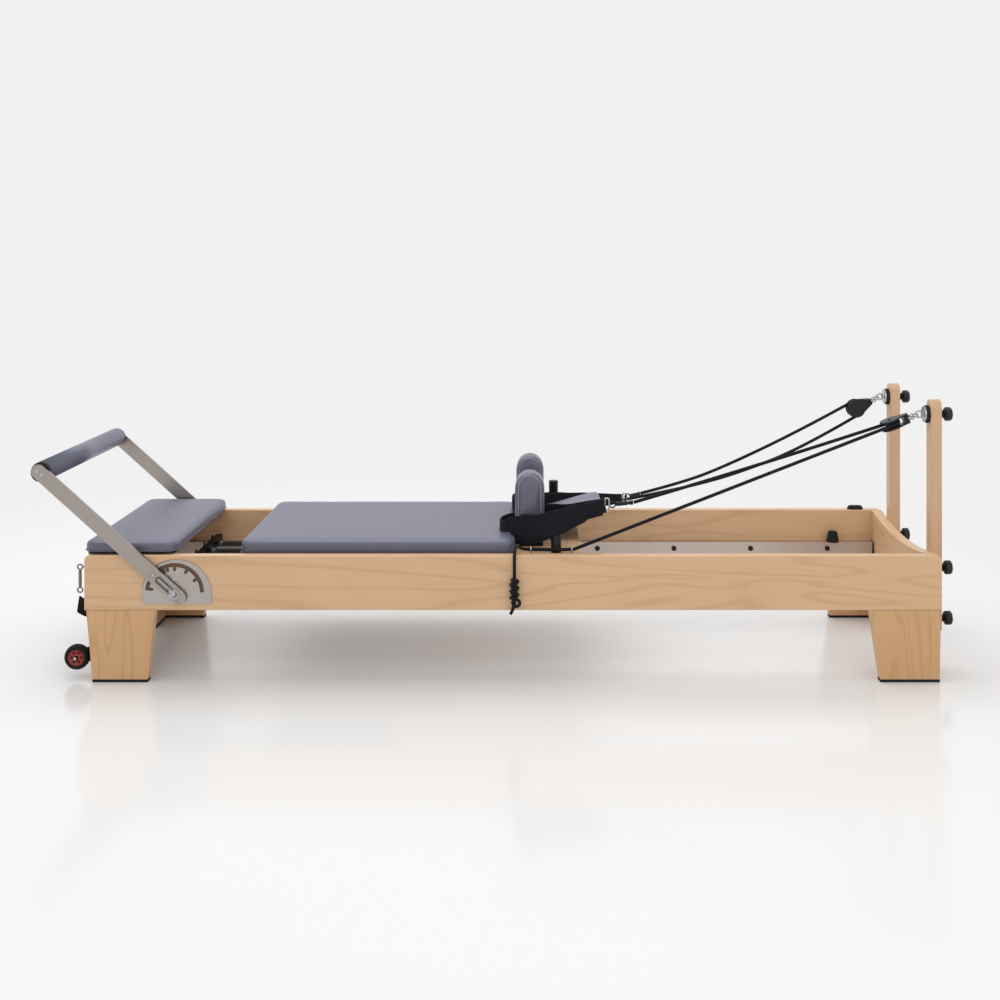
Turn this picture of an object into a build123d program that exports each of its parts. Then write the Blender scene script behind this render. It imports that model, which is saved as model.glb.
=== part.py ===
from build123d import *
import math
import os

# Pilates reformer, millimetres. X runs along the bed (+X towards the head end), Y across it, Z up.
# The model is drawn with X = 0 at the middle of the rails and moved by origin_shift when it is written.

# ---------------------------------------------------------------- bed frame
bed_length = 2360.0
bed_width = 660.0
board_thick = 30.0
rail_height = 150.0
rail_bottom = 198.0
rail_corner = 14.0
wood_edge = 3.0
board_setback = 3.0
head_scoop = 27.0
leg_pad_thick = 8.0
outer_half = bed_width / 2
inner_half = outer_half - board_thick
rail_end = bed_length / 2

foot_leg_top = (6.0 - rail_end, 195.0 - rail_end)
foot_leg_bottom = (23.0 - rail_end, 175.0 - rail_end)
head_leg_top = (rail_end - 3.0, rail_end - 198.0)
head_leg_bottom = (rail_end - 6.0, rail_end - 169.0)
leg_return_top = 165.0
leg_return_bottom = 145.0

track_depth = 27.0
track_height = 50.0
track_wall = 4.0
track_top = 250.0
track_end_gap = 2.0
track_bolt_count = 9
track_bolt_pitch = (bed_length - 397.6) / (track_bolt_count - 1)
track_bolt_first = rail_end - 183.0
track_bolt_z = 230.0
track_bolt_radius = 4.0
track_bolt_head = 8.0
stop_x = rail_end - 164.0
stop_base = 20.0
stop_tip = 13.5
stop_height = 33.0
stop_y = inner_half - 20.5

# ---------------------------------------------------------------- foot platform and springs
platform_x = (-rail_end - 9.0, 250.0 - rail_end)
platform_half = outer_half - 13.0
platform_top = 383.0
platform_board_thick = 6.0
platform_board_inset = 8.0
platform_corner = 30.0
pad_edge = 9.0

spring_bar_x = 225.0 - rail_end
spring_bar_wide = 20.0
spring_bar_height = 19.0
spring_bar_top = 270.5
spring_count = 5
spring_pitch = 100.0
spring_radius = 10.0
spring_bore = 7.0
spring_axis_z = 261.0
spring_anchor_x = spring_bar_x + 525.0
spring_peg_radius = 3.0
spring_peg_height = 18.0

# ---------------------------------------------------------------- footbar
pivot_x = 250.0 - rail_end
pivot_z = 248.0
arm_length = 494.0
arm_angle = 138.0
arm_width = 40.0
arm_thick = 8.0
arm_tail = 18.0
arm_tip = 4.0
plate_thick = 3.0
arm_gap = 4.0
plate_half = 95.5
plate_offset = 5.5
plate_bottom = 216.0
plate_top = 338.0
plate_corner = 8.0
pin_radius = 4.25
pin_track_radius = 75.5
pin_track_half = 5.5
pin_drop = 12.5
latch_width = 22.0
latch_thick = 2.6
latch_pocket = 3.0
latch_reach = (-18.0, 86.0)
latch_clearance = 0.3
latch_floor = 0.2
bar_screw_radius = 2.5
bar_screw_head = 6.5
bar_screw_depth = 18.0
pin_end = 330.5
notch_clearance = 0.25
notch_angles = (172.0, 138.0, 117.0, 107.6, 90.0, 61.0, 31.0)
pin_track_ends = (0.0, 175.0)
plate_screw_radius = 3.0
plate_screw_head = 5.5
plate_screws = ((-82.0, 227.5), (85.0, 227.5), (-2.0, 283.0))
pivot_shank = 6.0
pivot_bush = 8.0
pivot_washer = 13.5
running_gap = 0.06
bar_radius = 28.0
bar_tube = 16.0
bar_wall = 3.0
bar_spigot = 18.0
cap_radius = 27.0
bar_cap = 7.0

# ---------------------------------------------------------------- carriage
carriage_pad_x = (415.0 - rail_end, 1187.0 - rail_end)
carriage_pad_half = inner_half - 10.0
carriage_pad_top = 380.0
carriage_board_x = (carriage_pad_x[0] + 8.0, carriage_pad_x[1] + 184.0)
carriage_board_half = inner_half - 15.0
carriage_board_top = 340.0
carriage_board_thick = 20.0
roller_radius = 24.7
roller_width = 18.0
roller_x = (carriage_pad_x[0] + 65.0, carriage_pad_x[1] + 153.0)
roller_axle = 5.0
roller_gap = 0.3
roller_bracket_thick = 6.0

shoulder_x = (carriage_pad_x[1] - 3.0, carriage_pad_x[1] + 80.0)
shoulder_y = (114.0, 192.0)
shoulder_bottom = 386.0
shoulder_top = 553.0
strap_post_x = carriage_pad_x[1] + 113.0
strap_post_y = inner_half - 50.0
strap_post_radius = 14.5
strap_post_top = 452.0
bracket_plate = 6.0

headrest_hinge_x = carriage_pad_x[1] + 5.0
headrest_hinge_z = 344.3
headrest_start = 10.5
headrest_length = 258.0
headrest_half = 100.0
headrest_tilt = 15.0
headrest_board_thick = 10.0
headrest_thick = 39.0
hinge_radius = 4.0
hinge_pin = 2.0

# ---------------------------------------------------------------- risers, pulleys and knobs
riser_y = 214.5
riser_wide = 45.0
riser_deep = 32.0
riser_bottom = 115.0
riser_top = 765.0
eye_z = 723.0
clamp_knob_z = (288.0, 145.0)
knob_radius = 20.0
knob_depth = 34.0
knob_neck = 10.0
knob_neck_depth = 12.0
knob_stud = 5.0
knob_stud_depth = 20.0
washer_radius = 25.0
washer_thick = 11.0
eye_nut_radius = 22.0
eye_nut_thick = 4.0
eye_ring = 9.0
eye_wire = 3.0
eye_reach = 28.0
link_ring = 7.5
link_wire = 2.5
link_gap = 0.2
link_count = 3
sheave_groove = 16.5
sheave_radius = 25.0
sheave_width = 18.0
sheave_bore = 4.0
cheek_radius = 28.5
cheek_thick = 4.0
cheek_gap = 0.8
cage_reach = 46.0
near_pulley_angle = 20.0
far_pulley_angle = 26.0

# ---------------------------------------------------------------- ropes, loops and straps
rope_radius = 4.5
rope_clearance = 1.8
tail_knot_z = (220.0, 288.0)
tail_y = outer_half + 9.5
tail_knot_y = outer_half + 14.2
tail_knot_radius = 13.0
eyelet_x = (carriage_pad_x[1] + 42.0, carriage_pad_x[1] + 156.0)
eyelet_y = inner_half - 30.0
tail_x = eyelet_x[0] - 45.0
eyelet_z = 352.0
eyelet_ring = 7.8
eyelet_wire = 2.2

loop_thick = 5.0
loop_gap = 1.5
loop_lift = 0.6
loop_rise = 6.0
near_loop_x = carriage_pad_x[1] - 45.0
far_loop_x = carriage_pad_x[1] - 19.0
loop_centre_z = 403.0
loop_height = 74.0
loop_tip = 38.0
loop_ring = 13.0
loop_ring_wire = 2.8
hook_radius = 6.5
near_ring = (carriage_pad_x[1] + 249.0, 230.0, 468.0)
far_ring = (carriage_pad_x[1] + 328.0, 200.0, 407.0)
near_hook = (carriage_pad_x[1] + 333.0, 227.0, 475.0)
far_hook = (carriage_pad_x[1] + 386.0, 200.0, 420.0)

wheel_x = foot_leg_bottom[0] - 56.0
wheel_z = 57.0
wheel_y = outer_half - 44.0
wheel_radius = 35.0
wheel_width = 28.0
hub_radius = 22.5
wheel_axle = 5.0

strap_eye_y = outer_half - 40.0
strap_eye_z = 308.0
strap_top_z = 211.0
strap_sag = 80.0
strap_width = 45.0
strap_thick = 5.0
strap_x = -rail_end - 24.0
strap_ring_z = 244.0
strap_ring = 7.0
strap_eye_ring = 7.0
strap_wire = 2.2
strap_hook_radius = 4.5

peg_x = rail_end - 84.0
peg_length = 50.0
peg_width = 26.0
peg_height = 12.0

# ---------------------------------------------------------------- sizes that follow
rail_top = rail_bottom + rail_height
head_face = rail_end - board_setback
knob_face = head_face + riser_deep
bar_x = pivot_x + arm_length * math.cos(math.radians(arm_angle))
bar_z = pivot_z + arm_length * math.sin(math.radians(arm_angle))
plate_face = outer_half + plate_thick
arm_face = plate_face + arm_gap
roller_y = inner_half - track_depth / 2
roller_z = track_top + roller_gap + roller_radius
carriage_board_bottom = carriage_board_top - carriage_board_thick
eye_x = head_face - eye_reach
wrap_radius = sheave_groove + rope_radius + rope_clearance
origin_shift = -((bar_x - bar_radius) + (knob_face + knob_depth)) / 2
pieces = {}


def slab(x, y, z):
    """A box between two X, two Y and two Z values."""
    size = (abs(x[1] - x[0]), abs(y[1] - y[0]), abs(z[1] - z[0]))
    centre = (sum(x) / 2, sum(y) / 2, sum(z) / 2)
    return Pos(*centre) * Box(*size)


def softened(shape, radius):
    """The shape with all its edges rounded."""
    return fillet(shape.edges(), radius)


def rod(start, end, radius):
    """A round bar from one point to another."""
    along = Vector(*end) - Vector(*start)
    return Solid.make_cylinder(radius, along.length, Plane(origin=start, z_dir=along))


def both_sides(shape):
    """The near piece (drawn at -Y) and its mirror image."""
    return [shape, mirror(shape, about=Plane.XZ)]


def side_prism(points, y):
    """A polygon given by X, Z points, extruded between two Y values."""
    face = make_face(Polyline([(px, y[0], pz) for px, pz in points], close=True))
    return extrude(face, amount=y[1] - y[0], dir=(0, 1, 0))


def disc(x, y, z, radius):
    """A cylinder along Y between two Y values."""
    return rod((x, y[0], z), (x, y[1], z), radius)


def ring(centre, axis, radius, wire):
    """A closed wire ring about an axis."""
    return Solid.make_torus(radius, wire, Plane(origin=centre, z_dir=axis))


def revolved(profile, origin, axis, side):
    """A profile of (radius, height) points turned about an axis through origin."""
    plane = Plane(origin=origin, x_dir=side, z_dir=Vector(*side).cross(Vector(*axis)))
    face = make_face(plane * Polyline([(r, h) for r, h in profile], close=True))
    return revolve(face, Axis(origin, axis))


def turned_fillets(shape, radius):
    """The shape with its circular edges rounded."""
    return fillet(shape.edges().filter_by(GeomType.CIRCLE), radius)


# ================================================================ bed frame
def bolt_columns():
    return [track_bolt_first - track_bolt_pitch * k for k in range(track_bolt_count)]


def side_rail():
    """One long side board, drawn on the near side."""
    body = slab((-rail_end, rail_end), (-outer_half, -inner_half), (rail_bottom, rail_top))
    top_corners = body.edges().filter_by(Axis.Y).group_by(Axis.Z)[-1]
    body = fillet(top_corners, rail_corner)
    body = fillet(body.faces().sort_by(Axis.Y)[0].edges(), wood_edge)
    body = fillet(body.faces().sort_by(Axis.Y)[-1].edges(), wood_edge)
    for x in bolt_columns():
        body -= disc(x, (-inner_half - board_thick / 2, -inner_half + 1), track_bolt_z, track_bolt_radius)
    body -= disc(pivot_x, (-outer_half - 1, -inner_half - 8), pivot_z, pivot_shank + running_gap)
    for dx, z in plate_screws:
        body -= disc(pivot_x + dx, (-outer_half - 1, -outer_half + 14), z, plate_screw_radius)
    return body


def stud_hole(side, z):
    """The hole in a wooden piece behind a riser that a knob's stud turns in."""
    start = (head_face - knob_stud_depth - 2, side * riser_y, z)
    end = (head_face + 1, side * riser_y, z)
    return rod(start, end, knob_stud + running_gap)


def scooped_board():
    """The head end board, its top edge a shallow arc between the rails."""
    half = inner_half
    face = Plane.YZ * make_face(
        [
            Line((-half, rail_bottom), (half, rail_bottom)),
            Line((half, rail_bottom), (half, rail_top)),
            ThreePointArc((half, rail_top), (0, rail_top - head_scoop), (-half, rail_top)),
            Line((-half, rail_top), (-half, rail_bottom)),
        ]
    )
    body = Pos(head_face - board_thick, 0, 0) * extrude(face, amount=board_thick, dir=(1, 0, 0))
    for side in (-1, 1):
        body -= stud_hole(side, clamp_knob_z[0])
    return body


def leg(top, bottom):
    """One corner leg on the near side: a side board and an end return, both tapered."""
    outer_top, inner_top = top
    outer_bottom, inner_bottom = bottom
    turn = 1 if inner_top > outer_top else -1
    side = side_prism(
        [
            (outer_top, rail_bottom),
            (inner_top, rail_bottom),
            (inner_bottom, leg_pad_thick),
            (outer_bottom, leg_pad_thick),
        ],
        (-outer_half, -inner_half),
    )
    back = side_prism(
        [
            (outer_top, rail_bottom),
            (outer_top + turn * board_thick, rail_bottom),
            (outer_bottom + turn * board_thick, leg_pad_thick),
            (outer_bottom, leg_pad_thick),
        ],
        (-inner_half, -outer_half + leg_return_top),
    )
    taper_edge = Plane.YZ * make_face(
        Polyline(
            [
                (-inner_half, rail_bottom),
                (-outer_half + leg_return_top, rail_bottom),
                (-outer_half + leg_return_bottom, leg_pad_thick),
                (-inner_half, leg_pad_thick),
            ],
            close=True,
        )
    )
    back &= Pos(-2 * rail_end, 0, 0) * extrude(taper_edge, amount=4 * rail_end, dir=(1, 0, 0))
    return side + back


def head_leg():
    """The head-end leg, bored for the lower riser knob."""
    return leg(head_leg_top, head_leg_bottom) - stud_hole(-1, clamp_knob_z[1])


def leg_pad(outer, inner):
    """The rubber sole under one near leg."""
    turn = 1 if inner > outer else -1
    side = slab((outer, inner), (-outer_half, -inner_half), (0, leg_pad_thick))
    across = (-inner_half, -outer_half + leg_return_bottom)
    back = slab((outer, outer + turn * board_thick), across, (0, leg_pad_thick))
    return side + back


def track():
    """The aluminium channel on the near rail, its open side against the rail."""
    half = rail_end - board_setback - board_thick - track_end_gap
    y = (-inner_half, -inner_half + track_depth)
    z = (track_top - track_height, track_top)
    body = slab((-half, half), y, z)
    body -= slab((-half - 1, half + 1), (y[0] - 1, y[1] - track_wall), (z[0] + track_wall, z[1] - track_wall))
    for x in bolt_columns():
        body -= disc(x, (y[1] - track_wall - 1, y[1] + 1), track_bolt_z, track_bolt_radius + 0.25)
    return body


def track_bolts():
    """Button-head bolts that hold the near track to its rail."""
    face = -inner_half + track_depth
    made = []
    for x in bolt_columns():
        head = disc(x, (face, face + 5), track_bolt_z, track_bolt_head)
        head = fillet(head.edges().sort_by(Axis.Y)[-1], 3.0)
        made.append(head + disc(x, (-inner_half - 12, face), track_bolt_z, track_bolt_radius))
    return made


def track_stop():
    """A rubber buffer that ends the carriage's travel, on the near track."""
    return Solid.make_cone(stop_base, stop_tip, stop_height, Plane((stop_x, -stop_y, track_top)))


def rail_peg():
    """A low oval rubber buffer on top of the far rail."""
    outline = Pos(peg_x, outer_half - board_thick / 2, rail_top) * SlotOverall(peg_length, peg_width)
    body = extrude(outline, amount=peg_height)
    return fillet(body.faces().sort_by(Axis.Z)[-1].edges(), peg_height * 0.8)


# ================================================================ foot platform, spring bar and springs
def rounded_pad(x, half, z, corner):
    """A flat upholstered pad with rounded plan corners and softened edges."""
    body = slab(x, (-half, half), z)
    body = fillet(body.edges().filter_by(Axis.Z), corner)
    body = fillet(body.faces().sort_by(Axis.Z)[-1].edges(), pad_edge)
    return body


def platform_board():
    x = (platform_x[0] + platform_board_inset, platform_x[1] - platform_board_inset)
    half = platform_half - platform_board_inset
    body = slab(x, (-half, half), (rail_top, rail_top + platform_board_thick))
    return fillet(body.edges().filter_by(Axis.Z), platform_corner - platform_board_inset)


def platform_pad():
    z = (rail_top + platform_board_thick, platform_top)
    return rounded_pad(platform_x, platform_half, z, platform_corner)


def spring_rows():
    return [spring_pitch * (k - (spring_count - 1) / 2) for k in range(spring_count)]


def spring_bar():
    """The steel bar that the springs hook onto, with a peg above each spring."""
    x = (spring_bar_x - spring_bar_wide / 2, spring_bar_x + spring_bar_wide / 2)
    top = spring_bar_top
    body = slab(x, (-inner_half, inner_half), (top - spring_bar_height, top))
    for y in spring_rows():
        body += rod((spring_bar_x, y, top - 2), (spring_bar_x, y, top + spring_peg_height), spring_peg_radius)
    return body


def springs():
    """The coil springs as plain tubes, from the spring bar to the carriage's anchor."""
    start = spring_bar_x + spring_bar_wide / 2
    made = []
    for y in spring_rows():
        outer = rod((start, y, spring_axis_z), (spring_anchor_x, y, spring_axis_z), spring_radius)
        bore = rod((start - 1, y, spring_axis_z), (spring_anchor_x + 1, y, spring_axis_z), spring_bore)
        made.append(outer - bore)
    return made


# ================================================================ footbar
def on_arm(shape):
    """Places a shape drawn along +X from the pivot onto the footbar's arm direction."""
    return Pos(pivot_x, 0, pivot_z) * Rot(0, -arm_angle, 0) * shape


def long_hole(first, last, radius, y):
    """A slot along X with round ends, cut between two Y values."""
    body = slab((first, last), y, (-radius, radius))
    return body + disc(first, y, 0, radius) + disc(last, y, 0, radius)


def quadrant_plate():
    """The near locking plate: a half-round plate with the pin's arc track and its notches."""
    centre = pivot_x + plate_offset
    y = (-plate_face, -outer_half)
    low = plate_top - plate_half
    body = slab((centre - plate_half, centre + plate_half), y, (plate_bottom, low))
    dome = disc(centre, y, low, plate_half) & slab((centre - 200, centre + 200), y, (low, low + 200))
    body += dome
    bottom_corners = body.edges().filter_by(Axis.Y).group_by(Axis.Z)[0]
    body = fillet(bottom_corners, plate_corner)
    cut = (y[0] - 1, y[1] + 1)
    outer = disc(0, cut, 0, pin_track_radius + pin_track_half)
    inner = disc(0, cut, 0, pin_track_radius - pin_track_half)
    low_angle, high_angle = pin_track_ends
    arc = outer - inner
    half_plane = slab((-300, 300), cut, (0, 300))
    arc = arc & (Rot(0, -low_angle, 0) * half_plane) & (Rot(0, 180 - high_angle, 0) * half_plane)
    notch_radius = pin_radius + notch_clearance
    notch_end = pin_track_radius - pin_drop
    for angle in notch_angles:
        arc += Rot(0, -angle, 0) * long_hole(notch_end, pin_track_radius, notch_radius, cut)
    body -= Pos(pivot_x, 0, pivot_z) * arc
    body -= disc(pivot_x, cut, pivot_z, pivot_shank + 0.5)
    for dx, z in plate_screws:
        body -= disc(pivot_x + dx, cut, z, plate_screw_radius + 0.2)
    return body


def quadrant_screws():
    made = []
    for dx, z in plate_screws:
        x = pivot_x + dx
        head = disc(x, (-plate_face - 1.6, -plate_face), z, plate_screw_head)
        head = fillet(head.edges().sort_by(Axis.Y)[0], 1.2)
        made.append(head + disc(x, (-plate_face, -outer_half + 12), z, plate_screw_radius))
    return made


def footbar_pivot():
    """The pivot stud that turns in the near rail; the arm turns on its bush and the washer keeps it on."""
    outside = arm_face + arm_thick
    body = disc(0, (-plate_face, -inner_half - 10), 0, pivot_shank)
    body += disc(0, (-outside - 0.5, -plate_face), 0, pivot_bush)
    washer = disc(0, (-outside - 3, -outside - 0.5), 0, pivot_washer)
    head = disc(0, (-outside - 8, -outside - 3), 0, pivot_bush)
    head = fillet(head.edges().sort_by(Axis.Y)[0], 3.0)
    return Pos(pivot_x, 0, pivot_z) * (body + washer + head)


def footbar_arm():
    """The near flat bar, pocketed on its outer face for the latch and slotted for the latch's pin."""
    y = (-arm_face - arm_thick, -arm_face)
    body = long_hole(-arm_tail, arm_length + arm_tip, arm_width / 2, y)
    cut = (y[0] - 1, y[1] + 1)
    body -= disc(0, cut, 0, pivot_bush + running_gap)
    pocket = (y[0] - 1, y[0] + latch_pocket)
    low = latch_reach[0] - pin_drop - latch_clearance
    high = latch_reach[1] + latch_clearance
    body -= slab((low, high), pocket, (-latch_width / 2 - latch_clearance, latch_width / 2 + latch_clearance))
    body -= long_hole(pin_track_radius - pin_drop, pin_track_radius, pin_radius + latch_clearance, cut)
    for x in bar_screws():
        body -= disc(x, cut, 0, bar_screw_radius)
    return on_arm(body)


def latch():
    """The near latch: a plate that slides along the arm and the pin that drops into a notch."""
    outside = -arm_face - arm_thick
    y = (outside + latch_pocket - latch_thick - latch_floor, outside + latch_pocket - latch_floor)
    body = slab(latch_reach, y, (-latch_width / 2, latch_width / 2))
    body = fillet(body.edges().filter_by(Axis.Y), 4.0)
    body -= long_hole(0, pin_drop, pivot_bush + latch_clearance, (y[0] - 1, y[1] + 1))
    pin = disc(pin_track_radius, (y[0], -pin_end), 0, pin_radius)
    cap = disc(pin_track_radius, (y[0] - 3, y[0]), 0, 6.0)
    cap = fillet(cap.edges().sort_by(Axis.Y)[0], 2.2)
    return on_arm(body + pin + cap)


def bar_screws():
    return (arm_length - 8, arm_length + 8)


def bar_screw(x):
    """A dome-head screw through the near arm into the bar, at a distance along the arm."""
    outside = arm_face + arm_thick
    head = disc(x, (-outside - 2.5, -outside), 0, bar_screw_head)
    head = fillet(head.edges().sort_by(Axis.Y)[0], 2.0)
    return on_arm(head + disc(x, (-outside, -arm_face + bar_screw_depth), 0, bar_screw_radius))


def footbar_tube():
    half = arm_face - bar_cap
    body = disc(bar_x, (-half, half), bar_z, bar_tube)
    return body - disc(bar_x, (-half - 1, half + 1), bar_z, bar_tube - bar_wall)


def footbar_cap():
    """The near end plug of the bar: a disc against the arm and a spigot inside the tube."""
    y = (-arm_face, -arm_face + bar_cap)
    body = disc(bar_x, y, bar_z, cap_radius)
    body += disc(bar_x, (y[1], y[1] + bar_spigot), bar_z, bar_tube - bar_wall)
    for x in bar_screws():
        body -= on_arm(disc(x, (-arm_face - 1, -arm_face + bar_screw_depth), 0, bar_screw_radius))
    return body


def footbar_pad():
    half = arm_face - bar_cap
    body = disc(bar_x, (-half, half), bar_z, bar_radius)
    return body - disc(bar_x, (-half - 1, half + 1), bar_z, bar_tube)


# ================================================================ carriage
def carriage_board():
    z = (carriage_board_bottom, carriage_board_top)
    body = slab(carriage_board_x, (-carriage_board_half, carriage_board_half), z)
    body = fillet(body.edges().filter_by(Axis.Z), 12.0)
    return fillet(body.faces().sort_by(Axis.Z)[-1].edges(), 2.0)


def carriage_pad():
    z = (carriage_board_top, carriage_pad_top)
    return rounded_pad(carriage_pad_x, carriage_pad_half, z, 30.0)


def roller_bracket(x):
    """A steel angle under the near edge of the carriage, with the roller's axle."""
    inside = -roller_y + roller_width / 2 + 3
    web_y = (inside, inside + roller_bracket_thick)
    web = slab((x - 24, x + 24), web_y, (roller_z - 12, carriage_board_bottom))
    flange = slab(
        (x - 24, x + 24),
        (inside, inside + 40),
        (carriage_board_bottom - roller_bracket_thick, carriage_board_bottom),
    )
    boss = disc(x, (-roller_y + roller_width / 2 + 0.5, inside), roller_z, roller_axle + 4)
    axle = disc(x, (-roller_y - roller_width / 2 - 1.5, inside), roller_z, roller_axle)
    return web + flange + boss + axle


def spring_anchor():
    """The cross bar under the carriage that holds the far ends of the springs."""
    x = (spring_anchor_x, spring_anchor_x + 8)
    half = spring_rows()[-1] + 25
    web = slab(x, (-half, half), (spring_axis_z - spring_radius - 4, carriage_board_bottom))
    flange_x = (spring_anchor_x, spring_anchor_x + 40)
    return web + slab(flange_x, (-half, half), (carriage_board_bottom - 6, carriage_board_bottom))


def roller(x, side):
    """A nylon running roller with rounded shoulders."""
    y = (side * roller_y - roller_width / 2, side * roller_y + roller_width / 2)
    body = turned_fillets(disc(x, y, roller_z, roller_radius), 2.0)
    return body - disc(x, (y[0] - 1, y[1] + 1), roller_z, roller_axle + running_gap)


def shoulder_rest():
    """The near shoulder block, arched at the top."""
    x0, x1 = shoulder_x
    radius = (x1 - x0) / 2
    y = (-shoulder_y[1], -shoulder_y[0])
    body = slab(shoulder_x, y, (shoulder_bottom, shoulder_top - radius))
    body += disc((x0 + x1) / 2, y, shoulder_top - radius, radius)
    return fillet(body.faces().sort_by(Axis.Y)[0].edges() + body.faces().sort_by(Axis.Y)[-1].edges(), 8.0)


def shoulder_bracket():
    """The black steel foot of the near shoulder rest."""
    y_mid = sum(shoulder_y) / 2
    x_mid = sum(shoulder_x) / 2
    plate_z = (carriage_board_top, carriage_board_top + bracket_plate)
    plate = slab((x_mid - 30, x_mid + 38), (-y_mid - 24, -y_mid + 24), plate_z)
    block_z = (carriage_board_top, shoulder_bottom)
    return plate + slab((x_mid - 24, x_mid + 24), (-y_mid - 20, -y_mid + 20), block_z)


def strap_post():
    """The near round post that the hand loops are hung on when not in use."""
    start = (strap_post_x, -strap_post_y, carriage_board_top)
    post = rod(start, (strap_post_x, -strap_post_y, strap_post_top), strap_post_radius)
    return fillet(post.edges().sort_by(Axis.Z)[-1], 3.0)


def rope_eyelets():
    """Screw eyes that lead the near rope across the carriage."""
    made = []
    for x in eyelet_x:
        eye = ring((x, -eyelet_y, eyelet_z), (1, 0, 0), eyelet_ring, eyelet_wire)
        stem = rod((x, -eyelet_y, carriage_board_top), (x, -eyelet_y, eyelet_z - eyelet_ring), eyelet_wire)
        made.append(eye + stem)
    return made


def headrest_placed(shape):
    """Places a shape drawn flat from the hinge line onto the raised headrest."""
    return Pos(headrest_hinge_x, 0, headrest_hinge_z) * Rot(0, -headrest_tilt, 0) * shape


def headrest_board():
    x = (headrest_start - 2, headrest_length)
    body = slab(x, (-headrest_half + 6, headrest_half - 6), (0, headrest_board_thick))
    for y in (-55, 55):
        knuckle = disc(0, (y - 14, y + 14), 0, hinge_radius)
        leaf = slab((0, headrest_start), (y - 14, y + 14), (0, hinge_radius))
        body += knuckle + leaf
        body -= disc(0, (y - 15, y + 15), 0, hinge_pin + running_gap)
    return headrest_placed(body)


def headrest_pad():
    x = (headrest_start, headrest_length + 4)
    body = slab(x, (-headrest_half, headrest_half), (headrest_board_thick, headrest_thick))
    body = fillet(body.edges().filter_by(Axis.Z), 22.0)
    body = fillet(body.faces().sort_by(Axis.Z)[-1].edges(), pad_edge)
    return headrest_placed(body)


def headrest_hinges():
    """Two friction hinges: a pin each, held by ears that stand on the carriage board."""
    made = []
    for y in (-55, 55):
        pin = disc(headrest_hinge_x, (y - 21, y + 21), headrest_hinge_z, hinge_pin)
        for low in (y - 21, y + 15):
            ear = slab(
                (headrest_hinge_x - 5, headrest_hinge_x + 5),
                (low, low + 6),
                (carriage_board_top, headrest_hinge_z + 4),
            )
            pin += ear
        made.append(pin)
    return made


# ================================================================ risers, pulleys and knobs
def riser():
    """The near riser post with a round top."""
    y = (-riser_y - riser_wide / 2, -riser_y + riser_wide / 2)
    x = (head_face, knob_face)
    radius = riser_wide / 2
    body = slab(x, y, (riser_bottom, riser_top - radius))
    body += rod((x[0], -riser_y, riser_top - radius), (x[1], -riser_y, riser_top - radius), radius)
    ends = body.faces().sort_by(Axis.X)
    body = fillet(ends[0].edges() + ends[-1].edges(), wood_edge)
    for z in clamp_knob_z + (eye_z,):
        body -= rod((x[0] - 1, -riser_y, z), (x[1] + 1, -riser_y, z), knob_stud + running_gap)
    return body


def knob(side, z, reach):
    """A hand knob on the outer face of a riser, with the stud that it turns."""
    profile = [
        (0, 0),
        (knob_neck, 0),
        (knob_neck, knob_neck_depth),
        (knob_radius, knob_neck_depth),
        (knob_radius, knob_depth),
        (0, knob_depth),
    ]
    head = revolved(profile, (knob_face, side * riser_y, z), (1, 0, 0), (0, 0, 1))
    rim = head.edges().filter_by(GeomType.CIRCLE).filter_by(lambda e: e.radius > knob_radius - 0.1)
    head = fillet(rim, 5.0)
    stud = rod((knob_face - reach, side * riser_y, z), (knob_face, side * riser_y, z), knob_stud)
    return head + stud


def eye_bolt(side):
    """A rubber-backed eye bolt on the riser's inner face: washer, nut and welded eye."""
    y = side * riser_y
    back = head_face - washer_thick
    nut = rod((back - eye_nut_thick, y, eye_z), (back, y, eye_z), eye_nut_radius)
    eye = ring((eye_x, y, eye_z), (0, 1, 0), eye_ring, eye_wire)
    shank = rod((eye_x + eye_ring, y, eye_z), (head_face, y, eye_z), eye_wire)
    washer = rod((back, y, eye_z), (head_face, y, eye_z), washer_radius)
    washer = fillet(washer.edges().filter_by(GeomType.CIRCLE), 3.0) - shank
    return [nut + eye + shank, washer]


def pulley_plane(side):
    """The pulley's centre, its direction towards the eye bolt and the axis of its sheave."""
    angle = math.radians(near_pulley_angle if side < 0 else far_pulley_angle)
    along = Vector(math.cos(angle), 0, math.sin(angle))
    reach = (eye_ring - eye_wire) - link_wire - link_gap + link_ring
    reach += (link_count - 1) * (2 * link_ring - 2 * link_wire - link_gap)
    reach += link_ring + cage_reach
    centre = Vector(eye_x, side * riser_y, eye_z) - along * reach
    axis = Vector(-math.sin(angle), 0, math.cos(angle)) if side < 0 else Vector(0, 1, 0)
    return centre, along, axis


def links(side):
    """The short chain between the eye bolt and the pulley, each link turned a quarter from the last."""
    centre, along, axis = pulley_plane(side)
    cross = along.cross(Vector(0, 1, 0))
    at = (eye_ring - eye_wire) - link_wire - link_gap + link_ring
    made = []
    for k in range(link_count):
        middle = Vector(eye_x, side * riser_y, eye_z) - along * at
        turned = cross if k % 2 == 0 else Vector(0, 1, 0)
        made.append(ring(middle, turned, link_ring, link_wire))
        at += 2 * link_ring - 2 * link_wire - link_gap
    return made


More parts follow.
